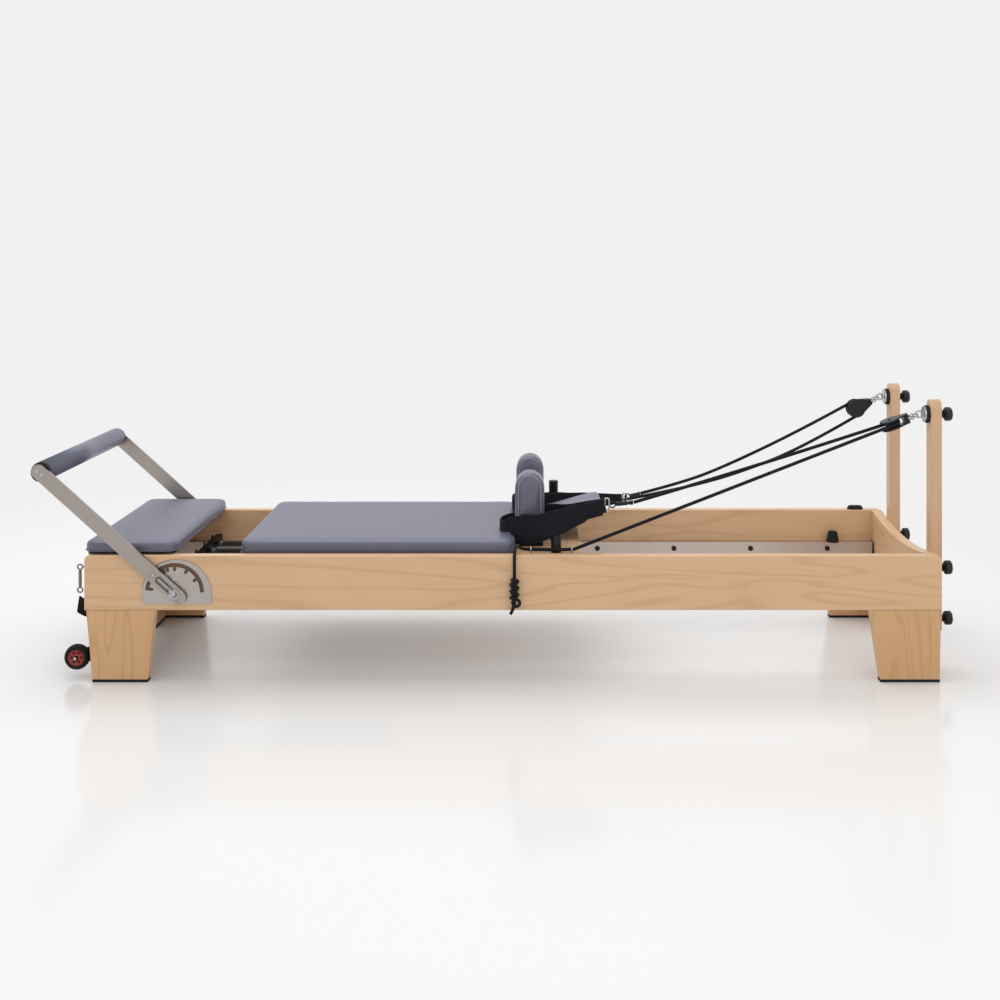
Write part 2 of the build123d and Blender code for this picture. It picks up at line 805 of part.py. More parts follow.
def pulley_cage(side):
    """Two cheek plates, the axle between them and the tail that the chain holds."""
    centre, along, axis = pulley_plane(side)
    inside = sheave_width / 2 + cheek_gap
    half = inside + cheek_thick
    flat = Plane(origin=centre, x_dir=along, z_dir=axis)
    cheek = Circle(cheek_radius)
    tail_x = cage_reach + 7
    tail = make_face(
        Polyline([(0, cheek_radius), (tail_x, 8), (tail_x, -8), (0, -cheek_radius)], close=True)
    )
    outline = cheek + tail
    body = extrude(flat * outline, amount=half, both=True)
    gap = Box(2 * cheek_radius + 16, 3 * cheek_radius, 2 * inside)
    body -= flat.location * gap
    body += flat.location * Cylinder(sheave_bore, 2 * half + 4)
    hole = link_wire + 0.4
    last_turned = along.cross(Vector(0, 1, 0)) if (link_count - 1) % 2 == 0 else Vector(0, 1, 0)
    hole_axis = last_turned.cross(along)
    hole_at = centre + along * cage_reach
    body -= rod(hole_at - hole_axis * 30, hole_at + hole_axis * 30, hole)
    # room for the link's bow round the tail
    bow_middle = hole_at + along * link_ring
    body -= ring(bow_middle, last_turned, link_ring, link_wire + 0.4)
    return body


def sheave(side):
    """The grooved wheel that the rope runs over."""
    centre, along, axis = pulley_plane(side)
    half = sheave_width / 2
    profile = [
        (sheave_bore + running_gap, -half),
        (sheave_radius, -half),
        (sheave_radius, -half + 1.5),
        (sheave_groove, -half + 2.8),
        (sheave_groove, half - 2.8),
        (sheave_radius, half - 1.5),
        (sheave_radius, half),
        (sheave_bore + running_gap, half),
    ]
    return revolved(profile, centre, axis, along)


# ================================================================ ropes
def rope_along(points, radii):
    """A round rope on straight runs joined by tangent arcs."""
    path = FilletPolyline(*points, radius=radii)
    start = path @ 0
    plane = Plane(origin=start, z_dir=path % 0)
    made = sweep(plane * Circle(rope_radius), path=path)
    expected = math.pi * rope_radius**2 * path.length
    print(f"rope {path.length:.0f} mm, volume ratio {made.volume / expected:.4f}, radii {radii}")
    return made


def wrap_corners(side):
    """The two corners of the rope's half turn round the sheave, first fall first."""
    centre, along, axis = pulley_plane(side)
    across = Vector(0, -1, 0) if side < 0 else along.cross(Vector(0, 1, 0))
    if across.Z > 0:
        across = across * -1
    front = centre + along * wrap_radius
    return front + across * wrap_radius, front - across * wrap_radius


def part_way(share, start, side):
    """X at a share of the way from a point on the carriage to the pulley."""
    return start + share * (pulley_plane(side)[0].X - start)


def rope_near():
    """From the front eyelet through the rear one, up over the pulley and back to the hand loop's hook."""
    first, second = wrap_corners(-1)
    points = [
        (eyelet_x[0] - 6, -eyelet_y, eyelet_z),
        (eyelet_x[1] + 6, -eyelet_y, eyelet_z),
        tuple(first),
        tuple(second),
        (part_way(0.493, near_hook[0], -1), -211.0, 577.0),
        (near_hook[0], -near_hook[1], near_hook[2]),
    ]
    return rope_along(points, [25.0, wrap_radius, wrap_radius, 2500.0])


def rope_far():
    """The slack far rope, on the same route."""
    first, second = wrap_corners(1)
    rear = eyelet_x[1] + 6
    points = [
        (eyelet_x[0] - 6, eyelet_y, eyelet_z),
        (rear, eyelet_y, eyelet_z),
        (part_way(0.253, rear, 1), eyelet_y - 12, 398.0),
        (part_way(0.462, rear, 1), eyelet_y - 22, 441.0),
        (part_way(0.601, rear, 1), eyelet_y - 30, 480.0),
        (part_way(0.809, rear, 1), eyelet_y - 42, 555.0),
        tuple(first),
        tuple(second),
        (part_way(0.742, far_hook[0], 1), 212.0, 616.0),
        (part_way(0.370, far_hook[0], 1), 206.0, 497.0),
        (part_way(0.185, far_hook[0], 1), 203.0, 452.0),
        far_hook,
    ]
    radii = [60.0, 400.0, 700.0, 700.0, 600.0, wrap_radius, wrap_radius, 900.0, 900.0, 400.0]
    return rope_along(points, radii)


def rope_tail_points():
    """The free end of the near rope, from the front eyelet over the rail and down its face."""
    return [
        (eyelet_x[0] - 6, -eyelet_y, eyelet_z),
        (tail_x + 25, -eyelet_y, eyelet_z),
        (tail_x + 12, -eyelet_y - 10, 361.0),
        (tail_x + 5, -inner_half + 2, 366.0),
        (tail_x + 2, -inner_half - 17, 366.0),
        (tail_x + 0.5, -outer_half - 3, 358.0),
        (tail_x, -tail_y, 341.0),
        (tail_x, -tail_y, tail_knot_z[1]),
    ]


def rope_tail():
    """The near rope's free end, above and below its knot."""
    points = rope_tail_points()
    hang = rope_along(points, arcs_for(points))
    end_points = [
        (tail_x, -tail_y, tail_knot_z[0]),
        (tail_x, -tail_y, 207.0),
        (tail_x - 11, -tail_y, 190.0),
    ]
    return [hang, rope_along(end_points, arcs_for(end_points))]


def arcs_for(points):
    """The largest arc that each corner's two runs allow."""
    radii = []
    for before, here, after in zip(points, points[1:], points[2:]):
        first = Vector(*here) - Vector(*before)
        second = Vector(*after) - Vector(*here)
        half = math.radians(first.get_angle(second)) / 2
        radii.append(round(0.45 * min(first.length, second.length) / math.tan(half), 1))
    return radii


def rope_knot():
    """The outer shape of the knotted loops in the near rope's free end."""
    low, high = tail_knot_z
    body = rod((tail_x, -tail_knot_y, low), (tail_x, -tail_knot_y, high), tail_knot_radius)
    return fillet(body.edges().filter_by(GeomType.CIRCLE), 5.0)


# ================================================================ loops and straps
def hand_loop(side, ring_at, foot_x):
    """A padded webbing loop laid round a shoulder rest and its post, drawn together at its ring."""
    ring_x, ring_y, ring_z = ring_at
    inner, outer = shoulder_y
    inside = inner - loop_gap - loop_thick / 2
    outside = outer + loop_gap + loop_thick / 2
    centre = (inner + outer) / 2
    end_x = shoulder_x[0] - loop_gap
    front = shoulder_x[1] + loop_gap
    past_post = strap_post_y + strap_post_radius + loop_gap + loop_thick / 2
    post_span = (strap_post_x - strap_post_radius, strap_post_x + strap_post_radius)
    line = [
        Line((ring_x, ring_y + 3), (post_span[1], past_post)),
        Line((post_span[1], past_post), (post_span[0], past_post)),
        Line((post_span[0], past_post), (end_x, outside)),
        ThreePointArc((end_x, outside), (foot_x + loop_thick / 2, centre), (end_x, inside)),
        Line((end_x, inside), (front + 10, inside)),
        Line((front + 10, inside), (ring_x, ring_y - 3)),
    ]
    wall = extrude(trace(line, loop_thick), amount=rail_top + 300)
    half = loop_height / 2
    tip = loop_tip / 2
    over_pad = carriage_pad_top + loop_lift
    profile = [
        (foot_x - 10, over_pad),
        (carriage_pad_x[1] + 3, over_pad),
        (carriage_pad_x[1] + 20, loop_centre_z - half),
        (front + 10, loop_centre_z - half),
        (ring_x + 10, ring_z - tip),
        (ring_x + 10, ring_z + tip),
        (front + 10, loop_centre_z + half),
        (foot_x - 10, loop_centre_z + half + loop_rise),
    ]
    band = wall & side_prism(profile, (0, outer_half))
    return band if side > 0 else mirror(band, about=Plane.XZ)


def loop_hardware(side, ring_at, hook_at):
    """The metal ring of a hand loop and the black snap hook that holds it to the rope."""
    ring_x, ring_y, ring_z = ring_at
    along = (Vector(*hook_at) - Vector(*ring_at)).normalized()
    metal = ring((ring_x + 8, side * ring_y, ring_z), (1, 0, 0.3), loop_ring, loop_ring_wire)
    start = Vector(*ring_at) + along * 16
    end = Vector(*hook_at) - along * 1.5
    points = [(v.X, side * v.Y, v.Z) for v in (start, end)]
    hook = fillet(rod(*points, hook_radius).edges().filter_by(GeomType.CIRCLE), 3.0)
    return [metal, hook]


def foot_strap():
    """The webbing foot strap across the foot end, hanging in a shallow curve."""
    low = ThreePointArc(
        (strap_x, -strap_eye_y, strap_top_z),
        (strap_x, 0, strap_top_z - strap_sag),
        (strap_x, strap_eye_y, strap_top_z),
    )
    section = Plane(origin=low @ 0, x_dir=(1, 0, 0), z_dir=low % 0) * Rectangle(strap_thick, strap_width)
    return sweep(section, path=low)


def strap_clip(side):
    """A screw eye in the foot board, a snap hook and the ring that the foot strap hangs from."""
    y = side * strap_eye_y
    eye = ring((strap_x, y, strap_eye_z), (0, 1, 0), strap_eye_ring, strap_wire)
    stem = rod((strap_x + strap_eye_ring, y, strap_eye_z), (-head_face, y, strap_eye_z), strap_wire)
    top = strap_eye_z - strap_eye_ring - strap_wire - 0.2
    low = strap_ring_z + strap_ring + strap_wire + 0.2
    body = rod((strap_x, y, low), (strap_x, y, top), strap_hook_radius)
    low_ring = ring((strap_x, y, strap_ring_z), (0, 1, 0), strap_ring, strap_wire)
    return [eye + stem, fillet(body.edges().filter_by(GeomType.CIRCLE), 2.0), low_ring]


# ================================================================ transport wheels
def leg_face_x(z):
    """X of the foot leg's sloping end face at a height."""
    share = (z - leg_pad_thick) / (rail_bottom - leg_pad_thick)
    return foot_leg_bottom[0] + (foot_leg_top[0] - foot_leg_bottom[0]) * share


def wheel_bracket():
    """The black steel bracket of the near transport wheel, with its axle bolt."""
    low, high = 37.0, 84.0
    y = (-wheel_y - wheel_width / 2 - 2, -wheel_y + wheel_width / 2 + 10)
    flange = side_prism(
        [
            (leg_face_x(low), low),
            (leg_face_x(high), high),
            (leg_face_x(high) - 5, high),
            (leg_face_x(low) - 5, low),
        ],
        y,
    )
    inside = -wheel_y + wheel_width / 2 + 2
    web = side_prism(
        [
            (leg_face_x(low) - 4, low),
            (leg_face_x(high) - 4, high),
            (wheel_x - 6, wheel_z + 14),
            (wheel_x - 14, wheel_z),
            (wheel_x - 6, wheel_z - 14),
        ],
        (inside, inside + 5),
    )
    outside = -wheel_y - wheel_width / 2
    axle = disc(wheel_x, (outside - 1, inside + 1), wheel_z, wheel_axle)
    head = disc(wheel_x, (outside - 6, outside - 1), wheel_z, 6.5)
    head = fillet(head.edges().sort_by(Axis.Y)[0], 3.0)
    return flange + web + axle + head


def transport_wheel(side):
    """A rubber tyre on a plastic hub."""
    y = (-wheel_y - wheel_width / 2, -wheel_y + wheel_width / 2)
    tyre = turned_fillets(disc(wheel_x, y, wheel_z, wheel_radius), 6.0)
    tyre -= disc(wheel_x, (y[0] - 1, y[1] + 1), wheel_z, hub_radius)
    hub = disc(wheel_x, (y[0] + 1, y[1] - 1), wheel_z, hub_radius)
    hub -= disc(wheel_x, (y[0] - 1, y[1] + 1), wheel_z, wheel_axle + running_gap)
    pair = [tyre, hub]
    return pair if side < 0 else [mirror(p, about=Plane.XZ) for p in pair]


# ================================================================ the assembly
def pairs(shapes):
    """Each near piece followed by its mirror image."""
    return [half for near in shapes for half in both_sides(near)]


def bed_pieces():
    rail = side_rail()
    foot_x = (-head_face, -head_face + board_thick)
    pieces["side_rail_near"] = [rail]
    pieces["side_rail_far"] = [mirror(rail, about=Plane.XZ)]
    pieces["head_board"] = [scooped_board()]
    pieces["foot_board"] = [slab(foot_x, (-inner_half, inner_half), (rail_bottom, rail_top))]
    pieces["legs"] = pairs([leg(foot_leg_top, foot_leg_bottom), head_leg()])
    pieces["leg_pads"] = pairs([leg_pad(*foot_leg_bottom), leg_pad(*head_leg_bottom)])
    pieces["tracks"] = pairs([track()])
    pieces["track_bolts"] = pairs(track_bolts())
    pieces["track_stops"] = pairs([track_stop()])
    pieces["rail_peg"] = [rail_peg()]
    pieces["foot_platform_board"] = [platform_board()]
    pieces["foot_platform_pad"] = [platform_pad()]
    pieces["spring_bar"] = [spring_bar()]
    pieces["springs"] = springs()
    pieces["wheel_brackets"] = pairs([wheel_bracket()])
    pieces["foot_strap"] = [foot_strap()]
    pieces["foot_strap_hooks"] = strap_clip(-1) + strap_clip(1)


def footbar_pieces():
    pieces["quadrants"] = pairs([quadrant_plate()])
    pieces["quadrant_screws"] = pairs(quadrant_screws())
    pieces["footbar_pivots"] = pairs([footbar_pivot()])
    pieces["footbar_arms"] = pairs([footbar_arm()])
    pieces["footbar_screws"] = pairs([bar_screw(x) for x in bar_screws()])
    pieces["footbar_tube"] = [footbar_tube()]
    pieces["footbar_pad"] = [footbar_pad()]
    pieces["footbar_caps"] = pairs([footbar_cap()])
    pieces["latch_near"], pieces["latch_far"] = [[half] for half in both_sides(latch())]


def carriage_pieces():
    pieces["carriage_board"] = [carriage_board()]
    pieces["carriage_pad"] = [carriage_pad()]
    brackets = pairs([roller_bracket(x) for x in roller_x])
    pieces["carriage_brackets"] = brackets + [spring_anchor()] + headrest_hinges()
    for place, x in zip(("foot", "head"), roller_x):
        for name, side in (("near", -1), ("far", 1)):
            pieces[f"roller_{place}_{name}"] = [roller(x, side)]
    pieces["shoulder_rests"] = pairs([shoulder_rest()])
    pieces["shoulder_brackets"] = pairs([shoulder_bracket()])
    pieces["strap_posts"] = pairs([strap_post()])
    pieces["rope_eyelets"] = pairs(rope_eyelets())
    pieces["headrest_board"] = [headrest_board()]
    pieces["headrest_pad"] = [headrest_pad()]


def head_end_pieces():
    pieces["risers"] = pairs([riser()])
    pieces["eye_bolt_knobs"] = [knob(side, eye_z, riser_deep) for side in (-1, 1)]
    bolts = [eye_bolt(side) for side in (-1, 1)]
    pieces["pulley_hangers"] = [pair[0] for pair in bolts] + links(-1) + links(1)
    pieces["eye_washers"] = [pair[1] for pair in bolts]
    pieces["pulley_cages"] = [pulley_cage(-1), pulley_cage(1)]
    for name, side in (("near", -1), ("far", 1)):
        for place, z in zip(("upper", "lower"), clamp_knob_z):
            pieces[f"riser_knob_{place}_{name}"] = [knob(side, z, riser_deep + knob_stud_depth)]
        pieces[f"sheave_{name}"] = [sheave(side)]
        pieces[f"transport_wheel_{name}"] = transport_wheel(side)


def rope_pieces():
    tails = [both_sides(piece) for piece in rope_tail()]
    pieces["rope_near"] = [rope_near()]
    pieces["rope_far"] = [rope_far()]
    pieces["rope_tail_near"] = [pair[0] for pair in tails]
    pieces["rope_tail_far"] = [pair[1] for pair in tails]
    pieces["tail_knots"] = pairs([rope_knot()])
    pieces["hand_loops"] = [hand_loop(-1, near_ring, near_loop_x), hand_loop(1, far_ring, far_loop_x)]
    near_parts = loop_hardware(-1, near_ring, near_hook)
    pieces["loop_hardware"] = near_parts + loop_hardware(1, far_ring, far_hook)


def write():
    os.makedirs("parts", exist_ok=True)
    for name, shapes in pieces.items():
        solids = [solid for shape in shapes for solid in (Pos(origin_shift, 0, 0) * shape).solids()]
        whole = solids[0] if len(solids) == 1 else Compound(children=solids)
        export_step(whole, f"parts/{name}.step")
    print(len(pieces), "nodes, origin shift", round(origin_shift, 3))


bed_pieces()
footbar_pieces()
carriage_pieces()
head_end_pieces()
rope_pieces()
write()
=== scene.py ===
import math

import bmesh
import bpy
import numpy as np
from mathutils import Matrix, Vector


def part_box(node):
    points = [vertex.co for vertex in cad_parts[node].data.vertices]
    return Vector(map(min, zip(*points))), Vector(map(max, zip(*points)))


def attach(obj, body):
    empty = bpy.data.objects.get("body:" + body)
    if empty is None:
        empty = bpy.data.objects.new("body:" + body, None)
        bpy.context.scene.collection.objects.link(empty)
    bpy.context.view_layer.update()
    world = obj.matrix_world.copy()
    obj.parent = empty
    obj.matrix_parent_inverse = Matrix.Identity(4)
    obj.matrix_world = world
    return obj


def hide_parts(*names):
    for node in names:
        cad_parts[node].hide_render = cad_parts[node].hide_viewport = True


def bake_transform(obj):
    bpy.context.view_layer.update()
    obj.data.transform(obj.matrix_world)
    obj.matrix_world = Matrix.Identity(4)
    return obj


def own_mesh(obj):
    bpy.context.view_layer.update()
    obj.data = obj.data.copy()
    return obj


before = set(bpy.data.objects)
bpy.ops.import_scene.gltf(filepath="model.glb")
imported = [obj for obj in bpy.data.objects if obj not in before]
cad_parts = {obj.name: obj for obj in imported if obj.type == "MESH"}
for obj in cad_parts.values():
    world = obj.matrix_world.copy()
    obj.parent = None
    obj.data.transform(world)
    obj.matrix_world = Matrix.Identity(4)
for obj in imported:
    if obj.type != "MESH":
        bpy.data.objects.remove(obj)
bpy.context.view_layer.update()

# Pilates reformer: wooden bed, sliding padded carriage, footbar, risers with pulleys, ropes and webbing loops.
# Metres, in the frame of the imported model. Places come from the boxes of its nodes.

railLow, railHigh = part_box("side_rail_near")
midX = (railLow.x + railHigh.x) / 2  # the middle of the rails along the bed


def place(x, y, z):
    # a point given in millimetres from the middle of the rails, as metres in the model's frame
    return (midX + x / 1000, y / 1000, z / 1000)


def places(points):
    return np.array([place(*p) for p in points])


# camera, light and floor

studio = {
    "cameraX": 0.055, "cameraY": -3.997, "cameraZ": 1.211, "lens": 48.0,
    "shiftX": -0.033, "shiftY": -0.258,
    "skyColour": (0.880, 0.880, 0.880), "skyStrength": 1.0,
    "keySize": 3.5, "keyPower": 62.0, "keyAt": (-0.8, 0.6, 3.6), "keyTurn": (-8, -8, 0),
    "fillSize": 3.0, "fillPower": 20.0, "fillAt": (1.4, -3.6, 2.4), "fillTurn": (58, 0, 18),
    "floorColour": (0.80, 0.80, 0.80, 1), "floorRough": 0.16, "floorSize": 60.0,
    "fadeFrom": 1.7, "fadeTo": 3.6,
}


def floorPaint():
    # glossy pale floor that fades with distance from the bed into the colour of the sky
    paint = bpy.data.materials.new("floorPaint")
    paint.use_nodes = True
    nodes, links = paint.node_tree.nodes, paint.node_tree.links
    shader = nodes["Principled BSDF"]
    shader.inputs["Base Color"].default_value = studio["floorColour"]
    shader.inputs["Roughness"].default_value = studio["floorRough"]
    glow = nodes.new("ShaderNodeEmission")
    glow.inputs["Color"].default_value = (*studio["skyColour"], 1)
    where = nodes.new("ShaderNodeTexCoord")
    centre = nodes.new("ShaderNodeVectorMath")
    centre.operation = "DISTANCE"
    centre.inputs[1].default_value = (midX, 0, 0)
    fade = nodes.new("ShaderNodeMapRange")
    fade.interpolation_type = "SMOOTHSTEP"
    fade.inputs["From Min"].default_value = studio["fadeFrom"]
    fade.inputs["From Max"].default_value = studio["fadeTo"]
    blend = nodes.new("ShaderNodeMixShader")
    links.new(where.outputs["Object"], centre.inputs[0])
    links.new(centre.outputs["Value"], fade.inputs["Value"])
    links.new(fade.outputs["Result"], blend.inputs["Fac"])
    links.new(shader.outputs["BSDF"], blend.inputs[1])
    links.new(glow.outputs["Emission"], blend.inputs[2])
    links.new(blend.outputs["Shader"], nodes["Material Output"].inputs["Surface"])
    return paint


def addStudio():
    scene = bpy.context.scene
    scene.view_settings.view_transform = "Standard"
    camera = bpy.data.objects.new("camera", bpy.data.cameras.new("camera"))
    scene.collection.objects.link(camera)
    camera.location = (midX + studio["cameraX"], studio["cameraY"], studio["cameraZ"])
    camera.rotation_euler = (math.radians(90), 0, 0)
    camera.data.lens = studio["lens"]
    camera.data.sensor_width = 36
    camera.data.shift_x = studio["shiftX"]
    camera.data.shift_y = studio["shiftY"]
    scene.camera = camera

    world = bpy.data.worlds.new("studio")
    scene.world = world
    world.use_nodes = True
    background = world.node_tree.nodes["Background"]
    background.inputs["Color"].default_value = (*studio["skyColour"], 1)
    background.inputs["Strength"].default_value = studio["skyStrength"]

    for name in ("key", "fill"):
        lamp = bpy.data.lights.new(name, "AREA")
        lamp.size = studio[f"{name}Size"]
        lamp.energy = studio[f"{name}Power"]
        thing = bpy.data.objects.new(name, lamp)
        thing.location = studio[f"{name}At"]
        thing.rotation_euler = [math.radians(angle) for angle in studio[f"{name}Turn"]]
        scene.collection.objects.link(thing)

    half = studio["floorSize"] / 2
    corners = [(-half, -half, 0), (half, -half, 0), (half, half, 0), (-half, half, 0)]
    mesh = bpy.data.meshes.new("floor")
    mesh.from_pydata(corners, [], [(0, 1, 2, 3)])
    floor = bpy.data.objects.new("floor", mesh)
    scene.collection.objects.link(floor)
    mesh.materials.append(floorPaint())


addStudio()
print("studio: camera, lights, floor")


# surfaces worked out with numpy

def putMesh(name, points, faces, uv=None):
    # points (n, 3) and faces as rows of point numbers into a smooth mesh; uv is one pair for each point
    mesh = bpy.data.meshes.new(name)
    mesh.from_pydata(points.tolist(), [], faces)
    if uv is not None:
        loops = np.empty(len(mesh.loops), dtype=np.int32)
        mesh.loops.foreach_get("vertex_index", loops)
        mesh.uv_layers.new(name="along").data.foreach_set("uv", uv[loops].astype(np.float32).ravel())
    mesh.polygons.foreach_set("use_smooth", np.full(len(mesh.polygons), True))
    mesh.update()
    thing = bpy.data.objects.new(name, mesh)
    bpy.context.scene.collection.objects.link(thing)
    return outwards(thing)


def gridFaces(rows, columns, closeRows=False, closeColumns=True):
    # quads between neighbouring points of a rows x columns grid, joined round where asked
    i = np.arange(rows if closeRows else rows - 1)[:, None]
    j = np.arange(columns if closeColumns else columns - 1)[None, :]
    nextI, nextJ = (i + 1) % rows, (j + 1) % columns
    quads = [i * columns + j, i * columns + nextJ, nextI * columns + nextJ, nextI * columns + j]
    return np.stack([np.broadcast_to(q, (i.shape[0], j.shape[1])) for q in quads], -1).reshape(-1, 4)


def outwards(thing):
    # doubles merged and all faces turned outwards
    work = bmesh.new()
    work.from_mesh(thing.data)
    bmesh.ops.remove_doubles(work, verts=work.verts, dist=1e-6)
    bmesh.ops.recalc_face_normals(work, faces=work.faces)
    work.to_mesh(thing.data)
    work.free()
    return thing


def unit(v):
    return v / np.maximum(np.linalg.norm(v, axis=-1, keepdims=True), 1e-12)


def crossways(axis):
    # two directions at right angles to an axis and to each other
    start = np.array([0, 0, 1.0]) if abs(axis[2]) < 0.9 else np.array([1.0, 0, 0])
    one = unit(np.cross(start, axis))
    return one, np.cross(axis, one)


def runOf(line):
    # the length walked along a line up to each of its points
    return np.concatenate([[0], np.cumsum(np.linalg.norm(np.diff(line, axis=0), axis=1))])


def readAt(line, want):
    # the line's places at the wanted lengths, straight between its points
    run = runOf(line)
    return np.stack([np.interp(want, run, line[:, n]) for n in range(line.shape[1])], 1)


def alongCurve(points, count, closed=False):
    # a Catmull-Rom curve through the points, sampled at even steps of its own length
    p = np.asarray(points, float)
    if closed:
        p = np.vstack([p[-1:], p, p[:2]])
    else:
        p = np.vstack([2 * p[:1] - p[1:2], p, 2 * p[-1:] - p[-2:-1]])
    spans = len(p) - 3
    t = np.linspace(0, spans, spans * 40 + 1)
    k = np.minimum(t.astype(int), spans - 1)
    f = (t - k)[:, None]
    a, b, c, d = p[k], p[k + 1], p[k + 2], p[k + 3]
    fine = 0.5 * (2 * b + (c - a) * f + (2 * a - 5 * b + 4 * c - d) * f**2 + (3 * b - a - 3 * c + d) * f**3)
    even = readAt(fine, np.linspace(0, runOf(fine)[-1], count + 1 if closed else count))
    return even[:-1] if closed else even


def framesAlong(path, up, closed=False):
    # tangent by central differences; the two crossways directions from the fixed direction up
    if closed:
        tangent = unit(np.roll(path, -1, 0) - np.roll(path, 1, 0))
    else:
        tangent = unit(np.gradient(path, axis=0))
    up = np.broadcast_to(np.asarray(up, float), path.shape)
    side = unit(np.cross(up, tangent))
    return tangent, side, np.cross(tangent, side)


def sweepRing(name, path, ring, up=(0, 0, 1), closed=False, scale=None):
    # a closed ring of (side, upright) offsets carried along a path; ends are closed by a point in the middle
    tangent, side, high = framesAlong(path, up, closed)
    ring = np.broadcast_to(ring, (len(path),) + ring.shape[-2:])
    if scale is not None:
        ring = ring * scale[:, None, :]
    surface = path[:, None] + side[:, None] * ring[..., :1] + high[:, None] * ring[..., 1:]
    rows, columns = surface.shape[:2]
    run = runOf(path)
    around = np.linspace(0, 1, columns, endpoint=False)
    uv = np.stack([np.repeat(run, columns), np.tile(around, rows)], 1)
    points = surface.reshape(-1, 3)
    quads = gridFaces(rows, columns, closed)
    if closed:
        return putMesh(name, points, quads.tolist(), uv)
    first = np.stack([np.roll(np.arange(columns), -1), np.arange(columns), np.full(columns, rows * columns)], 1)
    last = first[:, [1, 0, 2]] + [(rows - 1) * columns, (rows - 1) * columns, 1]
    points = np.vstack([points, path[:1], path[-1:]])
    uv = np.vstack([uv, [[0, 0]], [[run[-1], 0]]])
    return putMesh(name, points, quads.tolist() + first.tolist() + last.tolist(), uv)


def circleRing(radius, count=14):
    # a circle of offsets
    angle = np.linspace(0, 2 * math.pi, count, endpoint=False)
    return np.stack([radius * np.cos(angle), radius * np.sin(angle)], 1)


def flatRing(thick, width, count=28, power=6.0):
    # a superellipse: a flat band's section with soft edges
    angle = np.linspace(0, 2 * math.pi, count, endpoint=False)
    c, s = np.cos(angle), np.sin(angle)
    return np.stack([thick / 2 * np.sign(c) * np.abs(c) ** (2 / power),
                     width / 2 * np.sign(s) * np.abs(s) ** (2 / power)], 1)


def turned(name, profile, centre, axis, count=64, lobes=0, lobeDepth=0.0):
    # a profile of (radius, height) points turned about an axis; lobes swell its radius by a cosine
    axis = unit(np.asarray(axis, float))
    one, two = crossways(axis)
    angle = np.linspace(0, 2 * math.pi, count, endpoint=False)
    swell = 1 + lobeDepth * np.cos(lobes * angle)
    profile = np.asarray(profile, float)
    radius = profile[:, None, :1] * swell[None, :, None]
    spokes = np.cos(angle)[:, None] * one + np.sin(angle)[:, None] * two
    surface = np.asarray(centre) + radius * spokes[None] + profile[:, None, 1:] * axis
    closed = np.linalg.norm(profile[0] - profile[-1]) < 1e-9
    if closed:
        surface = surface[:-1]
    rows = len(surface)
    uv = np.stack([np.repeat(np.linspace(0, 1, rows), count), np.tile(angle / (2 * math.pi), rows)], 1)
    return putMesh(name, surface.reshape(-1, 3), gridFaces(rows, count, closed).tolist(), uv)


def wireRing(name, centre, axis, radius, wire, stretch=1.0, count=48):
    # a closed ring of wire; stretch lengthens it along its upright direction
    axis = unit(np.asarray(axis, float))
    one, two = crossways(axis)
    angle = np.linspace(0, 2 * math.pi, count, endpoint=False)[:, None]
    path = np.asarray(centre) + radius * (np.cos(angle) * one + stretch * np.sin(angle) * two)
    return sweepRing(name, path, circleRing(wire, 10), up=axis, closed=True)


def roundedOutline(halfX, halfY, corner, count=160):
    # a rectangle whose corners are quarter circles, walked at even steps
    angle = np.linspace(0, math.pi / 2, 16)
    arc = np.stack([np.cos(angle), np.sin(angle)], 1) * corner
    parts = []
    for turn, cx, cy in ((0, 1, 1), (1, -1, 1), (2, -1, -1), (3, 1, -1)):
        c, s = (1, 0, -1, 0)[turn], (0, 1, 0, -1)[turn]
        spun = np.stack([c * arc[:, 0] - s * arc[:, 1], s * arc[:, 0] + c * arc[:, 1]], 1)
        parts.append(spun + [cx * (halfX - corner), cy * (halfY - corner)])
    return evenOutline(np.vstack(parts), count)


def archOutline(halfWidth, low, high, count=160):
    # upright sides under a half circle, square at the foot
    angle = np.linspace(0, math.pi, 40)
    top = np.stack([halfWidth * np.cos(angle), high - halfWidth + halfWidth * np.sin(angle)], 1)
    foot = np.array([[-halfWidth, low + 0.006], [-halfWidth + 0.006, low],
                     [halfWidth - 0.006, low], [halfWidth, low + 0.006]])
    return evenOutline(np.vstack([top, foot]), count)


def evenOutline(points, count):
    # a closed outline walked at even steps
    loop = np.vstack([points, points[:1]])
    return readAt(loop, np.linspace(0, runOf(loop)[-1], count, endpoint=False))


def inset(outline, distance):
    # every point moved inwards across the outline
    along = unit(np.roll(outline, -1, 0) - np.roll(outline, 1, 0))
    return outline + np.stack([-along[:, 1], along[:, 0]], 1) * distance


